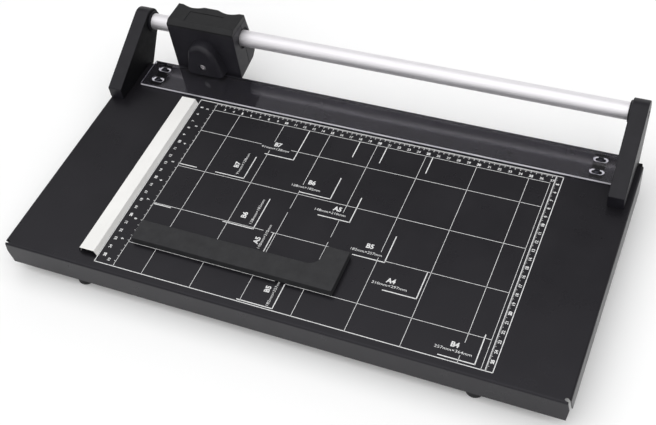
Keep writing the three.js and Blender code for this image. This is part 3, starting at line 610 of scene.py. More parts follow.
def ground_steel(name, dark, light):
    # Ground tool steel, bright or blackened: fine parallel wheel marks along the cutting line
    marks = dict(size=0.5, detail=3, stretch=(0.04, 1, 1))
    return finish(
        name, Metallic=1.0,
        tint=dict(marks, dark=dark, light=light),
        gloss=dict(marks, low=0.22, high=0.36))


# Baked polyester powder on steel: black with a cool soft sheen and a faint orange peel
coat = finish(
    "black_powder_coat", Specular_IOR_Level=0.3, Specular_Tint=colour("#f4f2fc"),
    tint=dict(size=60, detail=3, dark="#161518", light="#1a191c"),
    gloss=dict(size=25, detail=4, low=0.26, high=0.34),
    relief=dict(size=1.1, detail=2, depth=0.02, strength=0.35))

# Screen-printed epoxy ink: flat off-white, a little thin in places
ink = finish(
    "screen_ink", Roughness=0.6,
    tint=dict(size=1.6, detail=3, dark="#bdbdbe", light="#e6e6e6", low=0.25, high=0.55))

bracket_abs = grained_abs("bracket_abs", "#17161b", "#1c1b20", 0.34, 0.44, sheen=0.24)
# A darker, rougher copy of the bracket moulding for the inner faces: painted shade
bracket_inner_painted_shade = grained_abs("bracket_abs_painted_shade", "#0f0f12", "#141416", 0.5, 0.6, sheen=0.09)
head_abs = grained_abs("head_abs", "#201f24", "#252429", 0.36, 0.46, sheen=0.22)
cap_abs = grained_abs("cap_abs", "#141416", "#19191b", 0.42, 0.52, sheen=0.28)

# Extruded acrylic sheet: clear and glossy, with hair-fine wiping marks
acrylic = finish(
    "clear_acrylic", Base_Color=colour("#e6e3ee"), IOR=1.49, Transmission_Weight=0.99,
    Specular_IOR_Level=0.4,
    gloss=dict(size=18, detail=4, low=0.02, high=0.07))
acrylic_edge = sawn_acrylic("sawn_acrylic", "#d0ced8", "#efedf4", sheen=0.5)
# Dark copy of the frosted edge for the strip's rear edge: painted shade from the cutting bar
acrylic_rear_painted_shade = sawn_acrylic("painted_shade_acrylic", "#34333a", "#424148", sheen=0.1)

# Drawn and anodised tube: satin metal with faint streaks along its length
streaks = dict(size=0.9, detail=4, stretch=(0.02, 1, 1))
aluminium = finish(
    "drawn_aluminium", Metallic=1.0,
    tint=dict(streaks, dark="#e9e7ea", light="#f2f0f3"),
    gloss=dict(streaks, low=0.54, high=0.62),
    relief=dict(streaks, depth=0.004, strength=0.5))

# White powder on a steel channel: clean and even, with a faint orange peel
white_coat = finish(
    "white_powder_coat", Specular_IOR_Level=0.4,
    tint=dict(size=30, detail=3, dark="#e9e8e6", light="#eeedeb"),
    gloss=dict(size=20, detail=3, low=0.42, high=0.52),
    relief=dict(size=1.0, detail=2, depth=0.015, strength=0.3))

# Moulded polystyrene with a matt, leathery grain
charcoal = finish(
    "charcoal_polystyrene", Specular_IOR_Level=0.36,
    tint=dict(size=12, detail=3, dark="#232325", light="#29292b"),
    gloss=dict(size=5, detail=3, low=0.6, high=0.72),
    relief=dict(size=0.7, detail=3, depth=0.04, strength=0.5))

zinc = plated_steel("zinc_plate", "#9da0a6", "#b9bcc2", 0.28, 0.42)
nickel = plated_steel("nickel_plate", "#cfccce", "#e6e3e5", 0.30, 0.45)
black_oxide = plated_steel("black_oxide", "#2a2a2e", "#3c3c42", 0.30, 0.45)
steel = ground_steel("ground_steel", "#9a9ca2", "#b4b6bc")
dark_steel = ground_steel("blackened_steel", "#1c1c20", "#2a2a2f")

# Oil-filled bronze bearing: warm, dull and slightly porous
bronze = finish(
    "sintered_bronze", Metallic=1.0,
    tint=dict(size=0.6, detail=3, dark="#8a6436", light="#a97e48"),
    gloss=dict(size=0.8, detail=3, low=0.35, high=0.5))

# Uncoloured nylon: waxy off-white that lets a little light in
nylon = finish(
    "natural_nylon", Subsurface_Weight=0.2, Subsurface_Scale=0.002,
    tint=dict(size=8, detail=3, dark="#dedbd2", light="#e8e6e0"),
    gloss=dict(size=3, detail=3, low=0.45, high=0.6))

# Moulded rubber foot: matt, with a dusty bloom
rubber = finish(
    "black_rubber", Specular_IOR_Level=0.3,
    tint=dict(size=4, detail=4, dark="#1b1b1d", light="#232325"),
    gloss=dict(size=2, detail=3, low=0.75, high=0.9),
    relief=dict(size=0.4, detail=2, depth=0.02, strength=0.4))

# Pressed wool felt: short tangled fibres that catch light at the rim
felt = finish(
    "grey_felt", Roughness=0.95, Sheen_Weight=0.4, Specular_IOR_Level=0.1,
    tint=dict(size=0.5, detail=5, dark="#3a3a3c", light="#565658"),
    relief=dict(size=0.3, detail=4, depth=0.08, strength=0.7))

# Sintered ferrite magnet: dark grey ceramic, slightly chalky
ferrite = finish(
    "dull_ferrite", Specular_IOR_Level=0.4,
    tint=dict(size=1.2, detail=4, dark="#343436", light="#414143"),
    gloss=dict(size=1.5, detail=3, low=0.55, high=0.7))

# Plain dark film in the cap's recess, smoother than the moulding round it
film = finish(
    "label_film", Specular_IOR_Level=0.3,
    tint=dict(size=10, detail=2, dark="#131315", light="#171719"),
    gloss=dict(size=5, detail=2, low=0.36, high=0.44))

# Turned black acetal: self-lubricating plastic with a dull satin skin
acetal = finish(
    "black_acetal", Specular_IOR_Level=0.12,
    tint=dict(size=3, detail=3, dark="#0c0c0e", light="#121214"),
    gloss=dict(size=0.6, detail=2, stretch=(1, 0.1, 0.1), low=0.35, high=0.5))


# Table

def relief_reach(y_from_edge):
    """How far the relief hole bites past its own centre at a distance from the edge: half the
    chord of its circle there, and nothing outside it."""
    rise = np.clip(RELIEF_RADIUS ** 2 - (y_from_edge - RELIEF_INSET) ** 2, 0, None)
    return np.sqrt(rise)


def flange(half_length, edge, inward, ends, swap):
    """One flange: rows run over the quarter-circle bend and then straight down, and each row
    reaches to the relief hole or, past it, to the flange's own end, which is given as pairs of
    depth and inset."""
    turn = np.linspace(0, QUARTER, BEND_STEPS + 1)
    depths, insets = np.array(ends).T
    out = np.append(BEND - BEND * np.sin(turn), np.zeros(len(depths) - 1))
    height = np.append(BEND * np.cos(turn) - BEND, -depths[1:])
    bite = relief_reach(out)
    end_inset = np.interp(-height, depths, insets)
    reach = half_length - np.where(bite > 0, RELIEF_INSET + bite, end_inset)
    across = np.stack([-reach, reach], 1)
    away = np.repeat((edge + inward * out)[:, None], 2, axis=1)
    up = np.repeat(height[:, None], 2, axis=1)
    order = (away, across, up) if swap else (across, away, up)
    return np.stack(order, -1).reshape(-1, 3), grid_faces(len(out), 2)


def tray():
    """The folded sheet: a flat panel whose corners are bitten by round relief holes, four
    flanges, and the sheet's thickness inwards."""
    middle = (TRAY_FRONT + TRAY_REAR) / 2
    deep = (TRAY_REAR - TRAY_FRONT) / 2
    bite = relief_reach(np.array(BEND))
    swing = math.degrees(math.atan2(BEND - RELIEF_INSET, bite))
    corner = arc((RELIEF_INSET, RELIEF_INSET), RELIEF_RADIUS, swing, 90 - swing)
    signs = [(-1, -1), (1, -1), (1, 1), (-1, 1)]
    outline = []
    for across, away in signs:
        bitten = np.column_stack([across * (TRAY_HALF - corner[:, 0]),
                                  away * (deep - corner[:, 1])])
        outline.append(bitten[::-1] if across * away > 0 else bitten)
    outline = np.concatenate(outline)
    panel = np.column_stack([outline[:, 0], outline[:, 1], np.zeros(len(outline))])
    parts = [(panel, [list(range(len(panel)))])]
    for side in (-1, 1):
        parts.append(flange(TRAY_HALF, side * deep, -side, FLANGE_ENDS, False))
        parts.append(flange(deep, side * TRAY_HALF, -side, SIDE_FLANGE_ENDS, True))
    points, faces = together(parts)
    points[:, 1] += middle
    made = raw("folded_tray", (points, faces))
    wall = made.modifiers.new("sheet", "SOLIDIFY")
    wall.thickness = SHEET * MM
    wall.offset = -1
    wall.use_even_offset = True
    settled(made)
    dressed(made, "base", "black_powder_coat", coat, replaces=["base_tray"])
    return made


def bar():
    """The cutting bar: its section carried along the rail's direction, with sunk screw holes."""
    section = [(BAR_FRONT, -BAR_HEIGHT, FINE_EDGE), (BAR_REAR, -BAR_HEIGHT, FINE_EDGE),
               (BAR_REAR, 0, 0), (BAR_FRONT, 0, FINE_EDGE)]
    made = raw("ground_cutting_bar", carried(section, "x", BAR_LEFT, BAR_RIGHT))
    shank, _, head, height = BAR_SCREW
    through = BAR_REAR - BAR_FRONT + OVERRUN
    hole = [(0, through), (shank + PLAY, through), (shank + PLAY, height), (head + PLAY, 0),
            (head + PLAY, -OVERRUN), (0, -OVERRUN)]
    cut(made, [revolved(hole, (x, BAR_REAR, BAR_SCREW_Z), (0, -1, 0), SCREW_ROUND)
               for x in BAR_SCREW_X])
    dressed(made, "base", "bar_steel", dark_steel, replaces=["cutting_bar"])


def feet():
    """Rubber feet: a tapered post with a rounded tread."""
    tread = arc((FOOT_RADIUS - FOOT_TREAD, FOOT_TREAD), FOOT_TREAD, -90, 0, TREAD_STEPS)
    top = -SHEET - FOOT_BOTTOM
    post = [(FOOT_RADIUS, FOOT_SHOULDER), (FOOT_TOP_RADIUS, top), (0, top)]
    profile = np.concatenate([[(0, 0)], tread, post])
    for corner, (x, y) in FOOT_PLACES.items():
        made = raw(f"rubber_foot_{corner}", revolved(profile, (x, y, FOOT_BOTTOM), (0, 0, 1)))
        dressed(made, "base", "black_rubber", rubber, replaces=[f"foot_{corner}"])


# Fasteners

def cross_recess(place, direction, reach, depth):
    """The tool for a driver's cross: two tapered bars through one axis."""
    along = np.array(direction, float)
    side = square_to(along)
    third = np.cross(along, side)
    parts = []
    for wide, thin in ((side, third), (third, side)):
        shares = np.array([(-1, -1), (1, -1), (1, 1), (-1, 1)], float)
        rings = []
        for level, scale in ((-depth, RECESS_FLOOR_SHARE), (RECESS_OVERRUN, RECESS_MOUTH_SHARE)):
            span = shares[:, :1] * wide + shares[:, 1:] * thin * RECESS_WIDTH_SHARE
            flat = span * reach * scale
            rings.append(np.array(place, float) + flat + along * level)
        parts.append((np.concatenate(rings),
                      grid_faces(2, 4, False, True) + [[0, 1, 2, 3], [4, 5, 6, 7]]))
    return parts


def screw(name, node, body, metal, slot, place, direction, size, sunk=False):
    """A screw turned round its axis: a pan head is a shallow dome on a short wall, a sunk head
    a cone whose flat top stands at its place."""
    shank, length, head, height = size
    profile = [(0, -length), (shank, -length)]
    top = 0.0
    if sunk:
        profile += [(shank, -height), (head, 0), (0, 0)]
    else:
        dome = np.linspace(0, QUARTER, DOME_STEPS + 1)
        wall = height * CROWN_WALL_SHARE
        crown = np.column_stack([head * np.cos(dome), wall + (height - wall) * np.sin(dome)])
        profile += [(shank, 0), (head, 0), *crown]
        top = height
    made = raw(name, revolved(profile, place, direction, SCREW_ROUND))
    crown_place = np.array(place, float) + np.array(direction, float) * top
    depth = min(height * RECESS_DEPTH_SHARE, RECESS_DEPTH_LIMIT)
    cut(made, cross_recess(crown_place, direction, head * RECESS_REACH_SHARE, depth))
    dressed(made, body, slot, metal, replaces=[node])


def fasteners():
    """Every screw that shows from outside."""
    for number, x in enumerate(BAR_SCREW_X, 1):
        screw(f"bar_screw_{number}", f"cutting_bar_screw_{number}", "base", zinc, "zinc_steel",
              (x, BAR_REAR, BAR_SCREW_Z), (0, 1, 0), BAR_SCREW, sunk=True)
    for corner, (x, y) in BRACKET_SCREWS.items():
        screw(f"foot_bolt_{corner}", f"bracket_screw_{corner}", "base", zinc, "zinc_steel",
              (x, y, -SHEET), (0, 0, -1), BRACKET_SCREW)
    for end, y in FENCE_SCREW_Y.items():
        screw(f"fence_pin_{end}", f"fence_screw_{end}", "base", zinc, "zinc_steel",
              (FENCE_X, y, -SHEET), (0, 0, -1), FENCE_SCREW)
    for corner, (x, y) in GUARD_SLOTS.items():
        screw(f"shoulder_screw_{corner}", f"guard_screw_{corner}", "base", black_oxide,
              "black_screw_steel", (x, y, GUARD_SCREW_SEAT), (0, 0, 1), GUARD_SCREW)
    left_seat = BRACKET_LEFT[0] + END_SCREW_SEAT
    right_seat = BRACKET_RIGHT[1] - END_SCREW_SEAT
    for end, x, side in (("left", left_seat, -1), ("right", right_seat, 1)):
        screw(f"rail_screw_{end}", f"tube_end_screw_{end}", "base", black_oxide,
              "black_screw_steel", (x, RAIL_Y, RAIL_Z), (side, 0, 0), RAIL_SCREW)
    for corner, (x, z) in SHELL_SCREWS.items():
        y = rear_face(z) - SHELL_SCREW_SINK
        size = (SHELL_SCREW_SHANK, y - SHELL_SCREW_END, SHELL_SCREW_HEAD, SHELL_SCREW_HEIGHT)
        screw(f"shell_bolt_{corner}", f"head_shell_screw_{corner}", "head", black_oxide,
              "black_screw_steel", (x, y, z), (0, 1, 0), size)
    screw("axle_bolt", "blade_axle_screw", "head", nickel, "zinc_steel",
          (CUTTER_X, COVER_FRONT + AXLE_SEAT, BLADE_Z), (0, -1, 0), AXLE_SCREW)


# Rail and brackets

def rail():
    """The rail tube: a ring section turned round the rail's axis."""
    length = RAIL_RIGHT - RAIL_LEFT
    profile = [(RAIL_BORE, 0), (RAIL_RADIUS, 0), (RAIL_RADIUS, length), (RAIL_BORE, length),
               (RAIL_BORE, 0)]
    made = raw("satin_rail", revolved(profile, (RAIL_LEFT, RAIL_Y, RAIL_Z), (1, 0, 0),
                                      RAIL_ROUND))
    dressed(made, "base", "satin_aluminium", aluminium, replaces=["rail_tube"])


def touch_angle(y, z, side):
    """Where a straight line from an outside point touches the eye's circle, in degrees."""
    dy, dz = y - BRACKET_EYE_Y, z - BRACKET_EYE_Z
    away = math.hypot(dy, dz)
    return math.degrees(math.atan2(dz, dy) + side * math.acos(BRACKET_EYE / away))


def bracket(name, node, span, outward):
    """An end bracket: its side outline carried through its thickness with rounded edges, a
    raised ring round the rail and a round pocket for the end screw. Its inner face gets a
    darker, rougher copy of the moulding: painted shade."""
    front = touch_angle(-BRACKET_REACH, BRACKET_RISE, -1) + 360
    rear = touch_angle(BRACKET_HOOK_REACH, -BRACKET_HOOK_DROP, 1)
    eye = arc((BRACKET_EYE_Y, BRACKET_EYE_Z), BRACKET_EYE, rear, front, EYE_STEPS)
    foot = [(-BRACKET_REACH, BRACKET_RISE, BRACKET_NOSE), (-BRACKET_REACH, 0, BRACKET_TOE),
            (TRAY_REAR, 0, 0), (TRAY_REAR, -BRACKET_HOOK_DROP, BRACKET_HOOK_CORNER),
            (BRACKET_HOOK_REACH, -BRACKET_HOOK_DROP, BRACKET_HOOK_CORNER)]
    outline = np.concatenate([foot, plain(eye)])
    made = raw(name, carried(outline, "x", span[0], span[1], (BRACKET_EDGE, BRACKET_EDGE)))
    inner = span[0] if outward > 0 else span[1]
    outer = span[1] if outward > 0 else span[0]
    ring = revolved([(0, -EYE_RING_HEIGHT), (EYE_RING_RADIUS, -EYE_RING_HEIGHT),
                     (EYE_RING_RADIUS, EYE_RING_HEIGHT - EYE_RING_CHAMFER),
                     (EYE_RING_RADIUS - EYE_RING_CHAMFER, EYE_RING_HEIGHT),
                     (0, EYE_RING_HEIGHT)], (inner, RAIL_Y, RAIL_Z), (-outward, 0, 0))
    cut(made, [ring], "UNION")
    bore = rod(RAIL_RADIUS + PLAY, -BRACKET_BORE_DEPTH, EYE_RING_HEIGHT + OVERRUN,
               (inner, RAIL_Y, RAIL_Z), (-outward, 0, 0))
    pocket = rod(END_SCREW_ROOM, -END_SCREW_DEPTH, OVERRUN, (outer, RAIL_Y, RAIL_Z),
                 (outward, 0, 0), SINK_ROUND)
    cut(made, [bore, pocket])
    dressed(made, "base", "black_moulding", bracket_abs, bracket_inner_painted_shade, replaces=[node])
    normals, _ = face_sides(made.data)
    # The inner faces take the darker copy: painted shade
    faces_finished(made.data, -outward * normals[:, 0] > FACING)


# Side fence

def fence():
    """A folded channel: its section, two sloping sides under a flat top, carried from front
    to rear. Its end faces get dark steel: painted shade at the channel's open ends."""
    low, high = FENCE_BASE / 2, FENCE_TOP / 2
    inner_low, inner_high = low - FENCE_WALL, high - FENCE_WALL
    inner_top = FENCE_HEIGHT - FENCE_WALL
    section = [
        (FENCE_X - low, 0, 0), (FENCE_X - inner_low, 0, 0),
        (FENCE_X - inner_high, inner_top, FENCE_INNER_BEND),
        (FENCE_X + inner_high, inner_top, FENCE_INNER_BEND),
        (FENCE_X + inner_low, 0, 0), (FENCE_X + low, 0, 0),
        (FENCE_X + high, FENCE_HEIGHT, FENCE_BEND), (FENCE_X - high, FENCE_HEIGHT, FENCE_BEND)]
    made = raw("white_fence", carried(section, "y", FENCE_FRONT, FENCE_REAR,
                                      (FINE_EDGE, FINE_EDGE), 2))
    dressed(made, "base", "white_coat", white_coat, dark_steel, replaces=["side_fence"])
    normals, _ = face_sides(made.data)
    # The end faces take dark steel: painted shade
    faces_finished(made.data, np.abs(normals[:, 1]) > FACING)


# Guard strip

def slot_tool(x, y, length, width, bottom, top):
    """A slot's tool: two half circles joined by straight sides, carried upwards."""
    reach = (length - width) / 2
    outline = np.concatenate([arc((x + reach, y), width / 2, -90, 90, SLOT_STEPS),
                              arc((x - reach, y), width / 2, 90, 270, SLOT_STEPS)])
    return carried(plain(outline), "z", bottom, top)


def guard():
    """The clear strip with its stepped slots. Its ends, its front edge, the slots' front walls
    and their ledges are frosted, and its rear edge gets a dark copy: painted shade from the bar."""
    outline = [(GUARD_LEFT, GUARD_FRONT, GUARD_CORNER), (GUARD_RIGHT, GUARD_FRONT, GUARD_CORNER),
               (GUARD_RIGHT, GUARD_REAR, GUARD_CORNER), (GUARD_LEFT, GUARD_REAR, GUARD_CORNER)]
    made = raw("clear_strip", carried(outline, "z", GUARD_BOTTOM, GUARD_TOP,
                                      (FINE_EDGE, FINE_EDGE), 1))
    tools = []
    for x, y in GUARD_SLOTS.values():
        tools.append(slot_tool(x, y, *GUARD_SLOT, GUARD_LEDGE, GUARD_TOP + OVERRUN))
        tools.append(slot_tool(x, y, *GUARD_LEDGE_SLOT, -OVERRUN, GUARD_TOP))
    cut(made, tools)
    dressed(made, "guard", "clear_acrylic", acrylic, acrylic_edge, acrylic_rear_painted_shade,
            replaces=["guard_strip"], even=False)
    normals, centres = face_sides(made.data)
    upright = np.abs(normals[:, 2]) < TURNED
    # The rear faces take the dark copy: painted shade
    rear = (normals[:, 1] > TURNED) & (centres[:, 1] > GUARD_REAR - GUARD_RIM)
    inside = centres[:, 1] > GUARD_FRONT + GUARD_RIM
    inside &= np.abs(centres[:, 0]) < -GUARD_LEFT - GUARD_RIM
    polished = inside & (normals[:, 1] < -SLOT_FRONT_TURNED)
    ledge = inside & (np.abs(centres[:, 2] - GUARD_LEDGE) < LEVEL_REACH)
    faces_finished(made.data, np.where(rear, 2, np.where(upright & ~polished | ledge, 1, 0)))


# Loose stop

def stop():
    """The L-shaped block: its plan outline carried upwards, with a small round edge on top.
    Its felt is the outline drawn in, and clears the printed ink by a hair."""
    outline = [
        (STOP_LEFT, STOP_FRONT, STOP_END_CORNER), (STOP_RIGHT, STOP_FRONT, STOP_CORNER),
        (STOP_RIGHT, STOP_REAR, STOP_CORNER), (STOP_RIGHT - STOP_ARM, STOP_REAR, STOP_CORNER),
        (STOP_RIGHT - STOP_ARM, STOP_FRONT + STOP_ARM, STOP_HOLLOW),
        (STOP_LEFT, STOP_FRONT + STOP_ARM, STOP_END_CORNER)]
    made = raw("charcoal_stop", carried(outline, "z", STOP_BOTTOM, STOP_TOP,
                                        (STOP_LOW_EDGE, STOP_TOP_EDGE)))
    dressed(made, "stop", "stop_moulding", charcoal, replaces=["stop_block"])
    sheet = raw("pressed_felt", carried(inset(outline, FELT_INSET), "z", FELT_LIFT, STOP_BOTTOM,
                                        (FINE_EDGE, 0)))
    dressed(sheet, "stop", "grey_felt", felt, replaces=["stop_felt"])


# Cutter head

def rear_face(height):
    """The head's rear face: it leans in slightly up to the shoulder and more above it."""
    if height > HEAD_SHOULDER_Z:
        share = (height - HEAD_SHOULDER_Z) / (HEAD_TOP - HEAD_SHOULDER_Z)
        return HEAD_SHOULDER_Y + share * (HEAD_TOP_REAR - HEAD_SHOULDER_Y)
    share = (height - HEAD_LOW) / (HEAD_SHOULDER_Z - HEAD_LOW)
    return HEAD_BACK + share * (HEAD_SHOULDER_Y - HEAD_BACK)


def head_shells():
    """Two moulded shells that meet on the rail's axis, with the rail's bore through both."""
    bore = rod(BUSH_RADIUS + PLAY, -OVERRUN, HEAD_RIGHT - HEAD_LEFT + OVERRUN,
               (HEAD_LEFT, RAIL_Y, RAIL_Z), (1, 0, 0), RAIL_ROUND)
    share = (RAIL_Y - HEAD_FRONT) / (HEAD_BACK - HEAD_CHAMFER - HEAD_FRONT)
    middle_bottom = HEAD_FRONT_BOTTOM + share * (HEAD_BOTTOM - HEAD_FRONT_BOTTOM)
    sides = {
        "front": [(HEAD_FRONT, HEAD_FRONT_BOTTOM, HEAD_TOE), (RAIL_Y, middle_bottom, HEAD_SEAM),
                  (RAIL_Y, HEAD_BODY_TOP, HEAD_SEAM), (HEAD_FRONT, HEAD_BODY_TOP, HEAD_RIM)],
        "rear": [(RAIL_Y, middle_bottom, HEAD_SEAM),
                 (HEAD_BACK - HEAD_CHAMFER, HEAD_BOTTOM, HEAD_HEEL),
                 (HEAD_BACK, HEAD_LOW, HEAD_LOW_CORNER),
                 (HEAD_SHOULDER_Y, HEAD_SHOULDER_Z, HEAD_SHOULDER_BEND),
                 (rear_face(HEAD_BODY_TOP), HEAD_BODY_TOP, HEAD_RIM),
                 (RAIL_Y, HEAD_BODY_TOP, HEAD_SEAM)],
    }
    for end, corners in sides.items():
        made = raw(f"{end}_shell", carried(corners, "x", HEAD_LEFT, HEAD_RIGHT,
                                           (HEAD_END_EDGE, HEAD_END_EDGE)))
        tools = [bore]
        if end == "rear":
            for x, z in SHELL_SCREWS.values():
                place = (x, rear_face(z) - SHELL_SCREW_SINK, z)
                tools.append(rod(SHELL_SCREW_HEAD + PLAY, 0, SHELL_SCREW_SINK + OVERRUN, place,
                                 (0, 1, 0), SHELL_SINK_ROUND))
        cut(made, tools)
        dressed(made, "head", "head_moulding", head_abs, replaces=[f"head_{end}_shell"])


def scoop_tool(x):
    """A finger scoop's tool: a wide cylinder laid across the rear top edge at half a right
    angle."""
    slope = math.sqrt(0.5)
    edge = np.array([x, HEAD_TOP_REAR, HEAD_TOP])
    outward, down = np.array([0, slope, slope]), np.array([0, slope, -slope])
    start = edge + outward * (SCOOP_RADIUS - SCOOP_DEPTH) - down * SCOOP_RADIUS
    return rod(SCOOP_RADIUS, 0, 2 * SCOOP_RADIUS, start, down, SCOOP_ROUND)


def cap():
    """The cap across both shells: a low roof with two finger scoops and a sunk label place."""
    profile = [
        (HEAD_FRONT, HEAD_BODY_TOP, CAP_RIM), (rear_face(HEAD_BODY_TOP), HEAD_BODY_TOP, CAP_RIM),
        (HEAD_TOP_REAR, HEAD_TOP, CAP_REAR_EDGE),
        (HEAD_FRONT + CAP_SLOPE, HEAD_TOP, CAP_ROOF_BEND),
        (HEAD_FRONT, HEAD_BODY_TOP + CAP_FRONT_RISE, CAP_FRONT_EDGE)]
    made = raw("head_roof", carried(profile, "x", HEAD_LEFT, HEAD_RIGHT,
                                    (CAP_END_EDGE, CAP_END_EDGE)))
    left, right = HEAD_X - LABEL_LENGTH / 2, HEAD_X + LABEL_LENGTH / 2
    place = [(left, LABEL_FRONT, LABEL_CORNER), (right, LABEL_FRONT, LABEL_CORNER),
             (right, LABEL_REAR, LABEL_CORNER), (left, LABEL_REAR, LABEL_CORNER)]
    bottom = HEAD_TOP - LABEL_SINK
    cut(made, [scoop_tool(HEAD_X - SCOOP_SPREAD), scoop_tool(HEAD_X + SCOOP_SPREAD),
               carried(place, "z", bottom, HEAD_TOP + OVERRUN)])
    dressed(made, "head", "cap_moulding", cap_abs, replaces=["head_cap"])
    plate = raw("blank_label", carried(inset(place, PLAY), "z", bottom, bottom + LABEL_FILM,
                                       (0, FINE_EDGE), 2))
    dressed(plate, "head", "label_film", film, replaces=["label_plate"])


def bushes():
    """Black acetal bushes: rings with small chamfers, sunk a little in the head's ends."""
    profile = [(BUSH_BORE, 0), (BUSH_RADIUS - BUSH_CHAMFER, 0), (BUSH_RADIUS, BUSH_CHAMFER),
               (BUSH_RADIUS, BUSH_LENGTH), (BUSH_BORE, BUSH_LENGTH), (BUSH_BORE, 0)]
    for end, x, side in (("left", HEAD_LEFT + BUSH_RECESS, 1),
                         ("right", HEAD_RIGHT - BUSH_RECESS, -1)):
        made = raw(f"acetal_bush_{end}", revolved(profile, (x, RAIL_Y, RAIL_Z), (side, 0, 0)))
        dressed(made, "head", "head_moulding", acetal, replaces=[f"slide_bush_{end}"])


def arch(wall, bottom):
    """The cover's outline: straight sides that lean in by the flare up to where they touch the
    round top, all drawn in by the wall."""
    lean = math.atan(COVER_FLARE)
    radius = COVER_TOP_RADIUS - wall
    touch = COVER_ARCH_Z + radius * math.sin(lean)
    reach = radius * math.cos(lean) + (touch - bottom) * COVER_FLARE
    start, end = math.degrees(lean), 180 - math.degrees(lean)
    top = arc((CUTTER_X, COVER_ARCH_Z), radius, start, end, ARCH_STEPS)
    return plain(np.concatenate([[(CUTTER_X - reach, bottom), (CUTTER_X + reach, bottom)], top]))


def cover():
    """The blade cover: the arch carried from front to rear with a round front edge, cut level
    below, hollowed for the blade and its hub, with a sunk place for the axle screw. The arch is
    made longer below than it stays, so that its round edge runs straight into the level cut."""
    made = raw("arched_cover", carried(arch(0, -COVER_SPARE), "y", COVER_FRONT, HEAD_FRONT,
                                       (COVER_EDGE, 0), COVER_EDGE_STEPS))
    wide = 2 * COVER_TOP_RADIUS
    front, rear = COVER_FRONT - OVERRUN, HEAD_FRONT + OVERRUN
    ground = [(CUTTER_X - wide, front), (CUTTER_X + wide, front),
              (CUTTER_X + wide, rear), (CUTTER_X - wide, rear)]
    below = carried(plain(ground), "z", -COVER_SPARE - OVERRUN, COVER_BOTTOM)
    room = carried(arch(COVER_WALL, -OVERRUN), "y", COVER_ROOM_FRONT, rear)
    hub = rod(HUB_ROOM_RADIUS, 0, rear - HUB_ROOM_FRONT, (CUTTER_X, HUB_ROOM_FRONT, BLADE_Z),
              (0, 1, 0), SINK_ROUND)
    seat = (CUTTER_X, COVER_FRONT + AXLE_SEAT, BLADE_Z)
    sink = rod(AXLE_ROOM_RADIUS, 0, AXLE_SEAT + OVERRUN, seat, (0, -1, 0), SINK_ROUND)
    cut(made, [below, room, hub, sink])
    dressed(made, "head", "head_moulding", head_abs, replaces=["blade_cover"])


def blade():
    """The disc blade: flat in front, ground to an edge behind."""
    profile = [(BLADE_BORE, 0), (BLADE_RADIUS, 0), (BLADE_RADIUS, BLADE_LAND),
               (BLADE_RADIUS - BLADE_BEVEL, BLADE_THICKNESS), (BLADE_BORE, BLADE_THICKNESS),
               (BLADE_BORE, 0)]
    made = raw("ground_blade", revolved(profile, (CUTTER_X, 0, BLADE_Z), (0, 1, 0),
                                        BLADE_ROUND))
    dressed(made, "blade", "blade_steel", steel, replaces=["blade_disc"])


def plain_nodes():
    """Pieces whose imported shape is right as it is, each with its own material."""
    finishes = {
        zinc: ["foot_stud_front_left", "foot_stud_front_right", "foot_stud_rear_left",
               "foot_stud_rear_right", "blade_axle_nut", "blade_spring", "blade_spacer"],
        nylon: ["fence_block_rear", "fence_block_front", "tube_plug_left", "tube_plug_right"],
        bracket_abs: ["guard_spacer_left", "guard_spacer_right"],
        ferrite: ["stop_magnet_left", "stop_magnet_right"],
        bronze: ["blade_bearing"],
    }
    for material, names in finishes.items():
        for name in names:
            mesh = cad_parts[name].data
            mesh.materials.clear()
            mesh.materials.append(material)


# Printed rulings: x is right of the fence and y in front of the cut

FRAME_LEFT = 0.1
FRAME_RIGHT = 380
FRAME_REAR = 40
FRAME_FRONT = 260
LEFT_RULER = 20
RIGHT_RULER = 373.5
GRID_RIGHT = 370
GRID_REAR = 50

GRID_WIDTH = 0.45
FRAME_WIDTH = 0.75
MARK_WIDTH = 0.95
TICK_WIDTH = 0.24
TOP_TICK_WIDTH = 0.288
TOP_LONG_TICK_WIDTH = 0.576
INCH_TICK_WIDTH = 0.384
TOP_TICK = 1.6
TOP_LONG_TICK = 3.1
SIDE_TICK = 1.2
SIDE_LONG_TICK = 2.2
INCH = 25.4
INCH_TICK = 1.8

FIGURE_HEIGHT = 2.6
NAME_HEIGHT = 4.7
SIZE_HEIGHT = 2.6
TOP_NUMBERS = range(3, 38)
SIDE_NUMBERS = range(5, 26)
INCH_NUMBERS = range(2, 11)
QUARTER_INCHES = range(7, 41)
TOP_FIGURE_Y = 46.7
TOP_FIGURE_SHIFT = 1.2
SIDE_FIGURES_X = (6.0, 376.9)
INCH_FIGURE_X = 12.6
FIGURE_WEIGHT = 0.025
BOLD_WEIGHT = 0.06
INCH_WEIGHT = 0.03
NAME_WEIGHT = 0.035
LETTER_DEPTH = 0.5
LETTER_STEPS = 3

# Short marks for paper sides: (x, y, x, y)
SIDE_MARKS = [
    (182, 49.5, 182, 71.3),
    (210, 49.5, 210, 71.3),
    (256.7, 49.5, 256.7, 71.3),
    (20.8, 127.1, 39.5, 127.1),
    (20.8, 181.3, 39.5, 181.3),
]

# Line breaks keep clear of the lettering: (from, to) along the line
ACROSS_LINES = {
    50: [(20, 370)],
    80: [(20, 88.5), (121, 370)],
    130: [(20, 370)],
    180: [(20, 137), (144.5, 203), (256.5, 370)],
    230: [(20, 171.5), (181.5, 370)],
}
AWAY_LINES = {
    50: [(50, 260)],
    100: [(50, 73.8), (85.9, 260)],
    150: [(50, 118), (125.4, 148.6), (153.6, 260)],
    200: [(50, 139), (147.4, 169.3), (175, 260)],
    250: [(50, 171.5), (178, 260)],
    300: [(50, 260)],
    350: [(50, 239.3), (252.2, 260)],
}

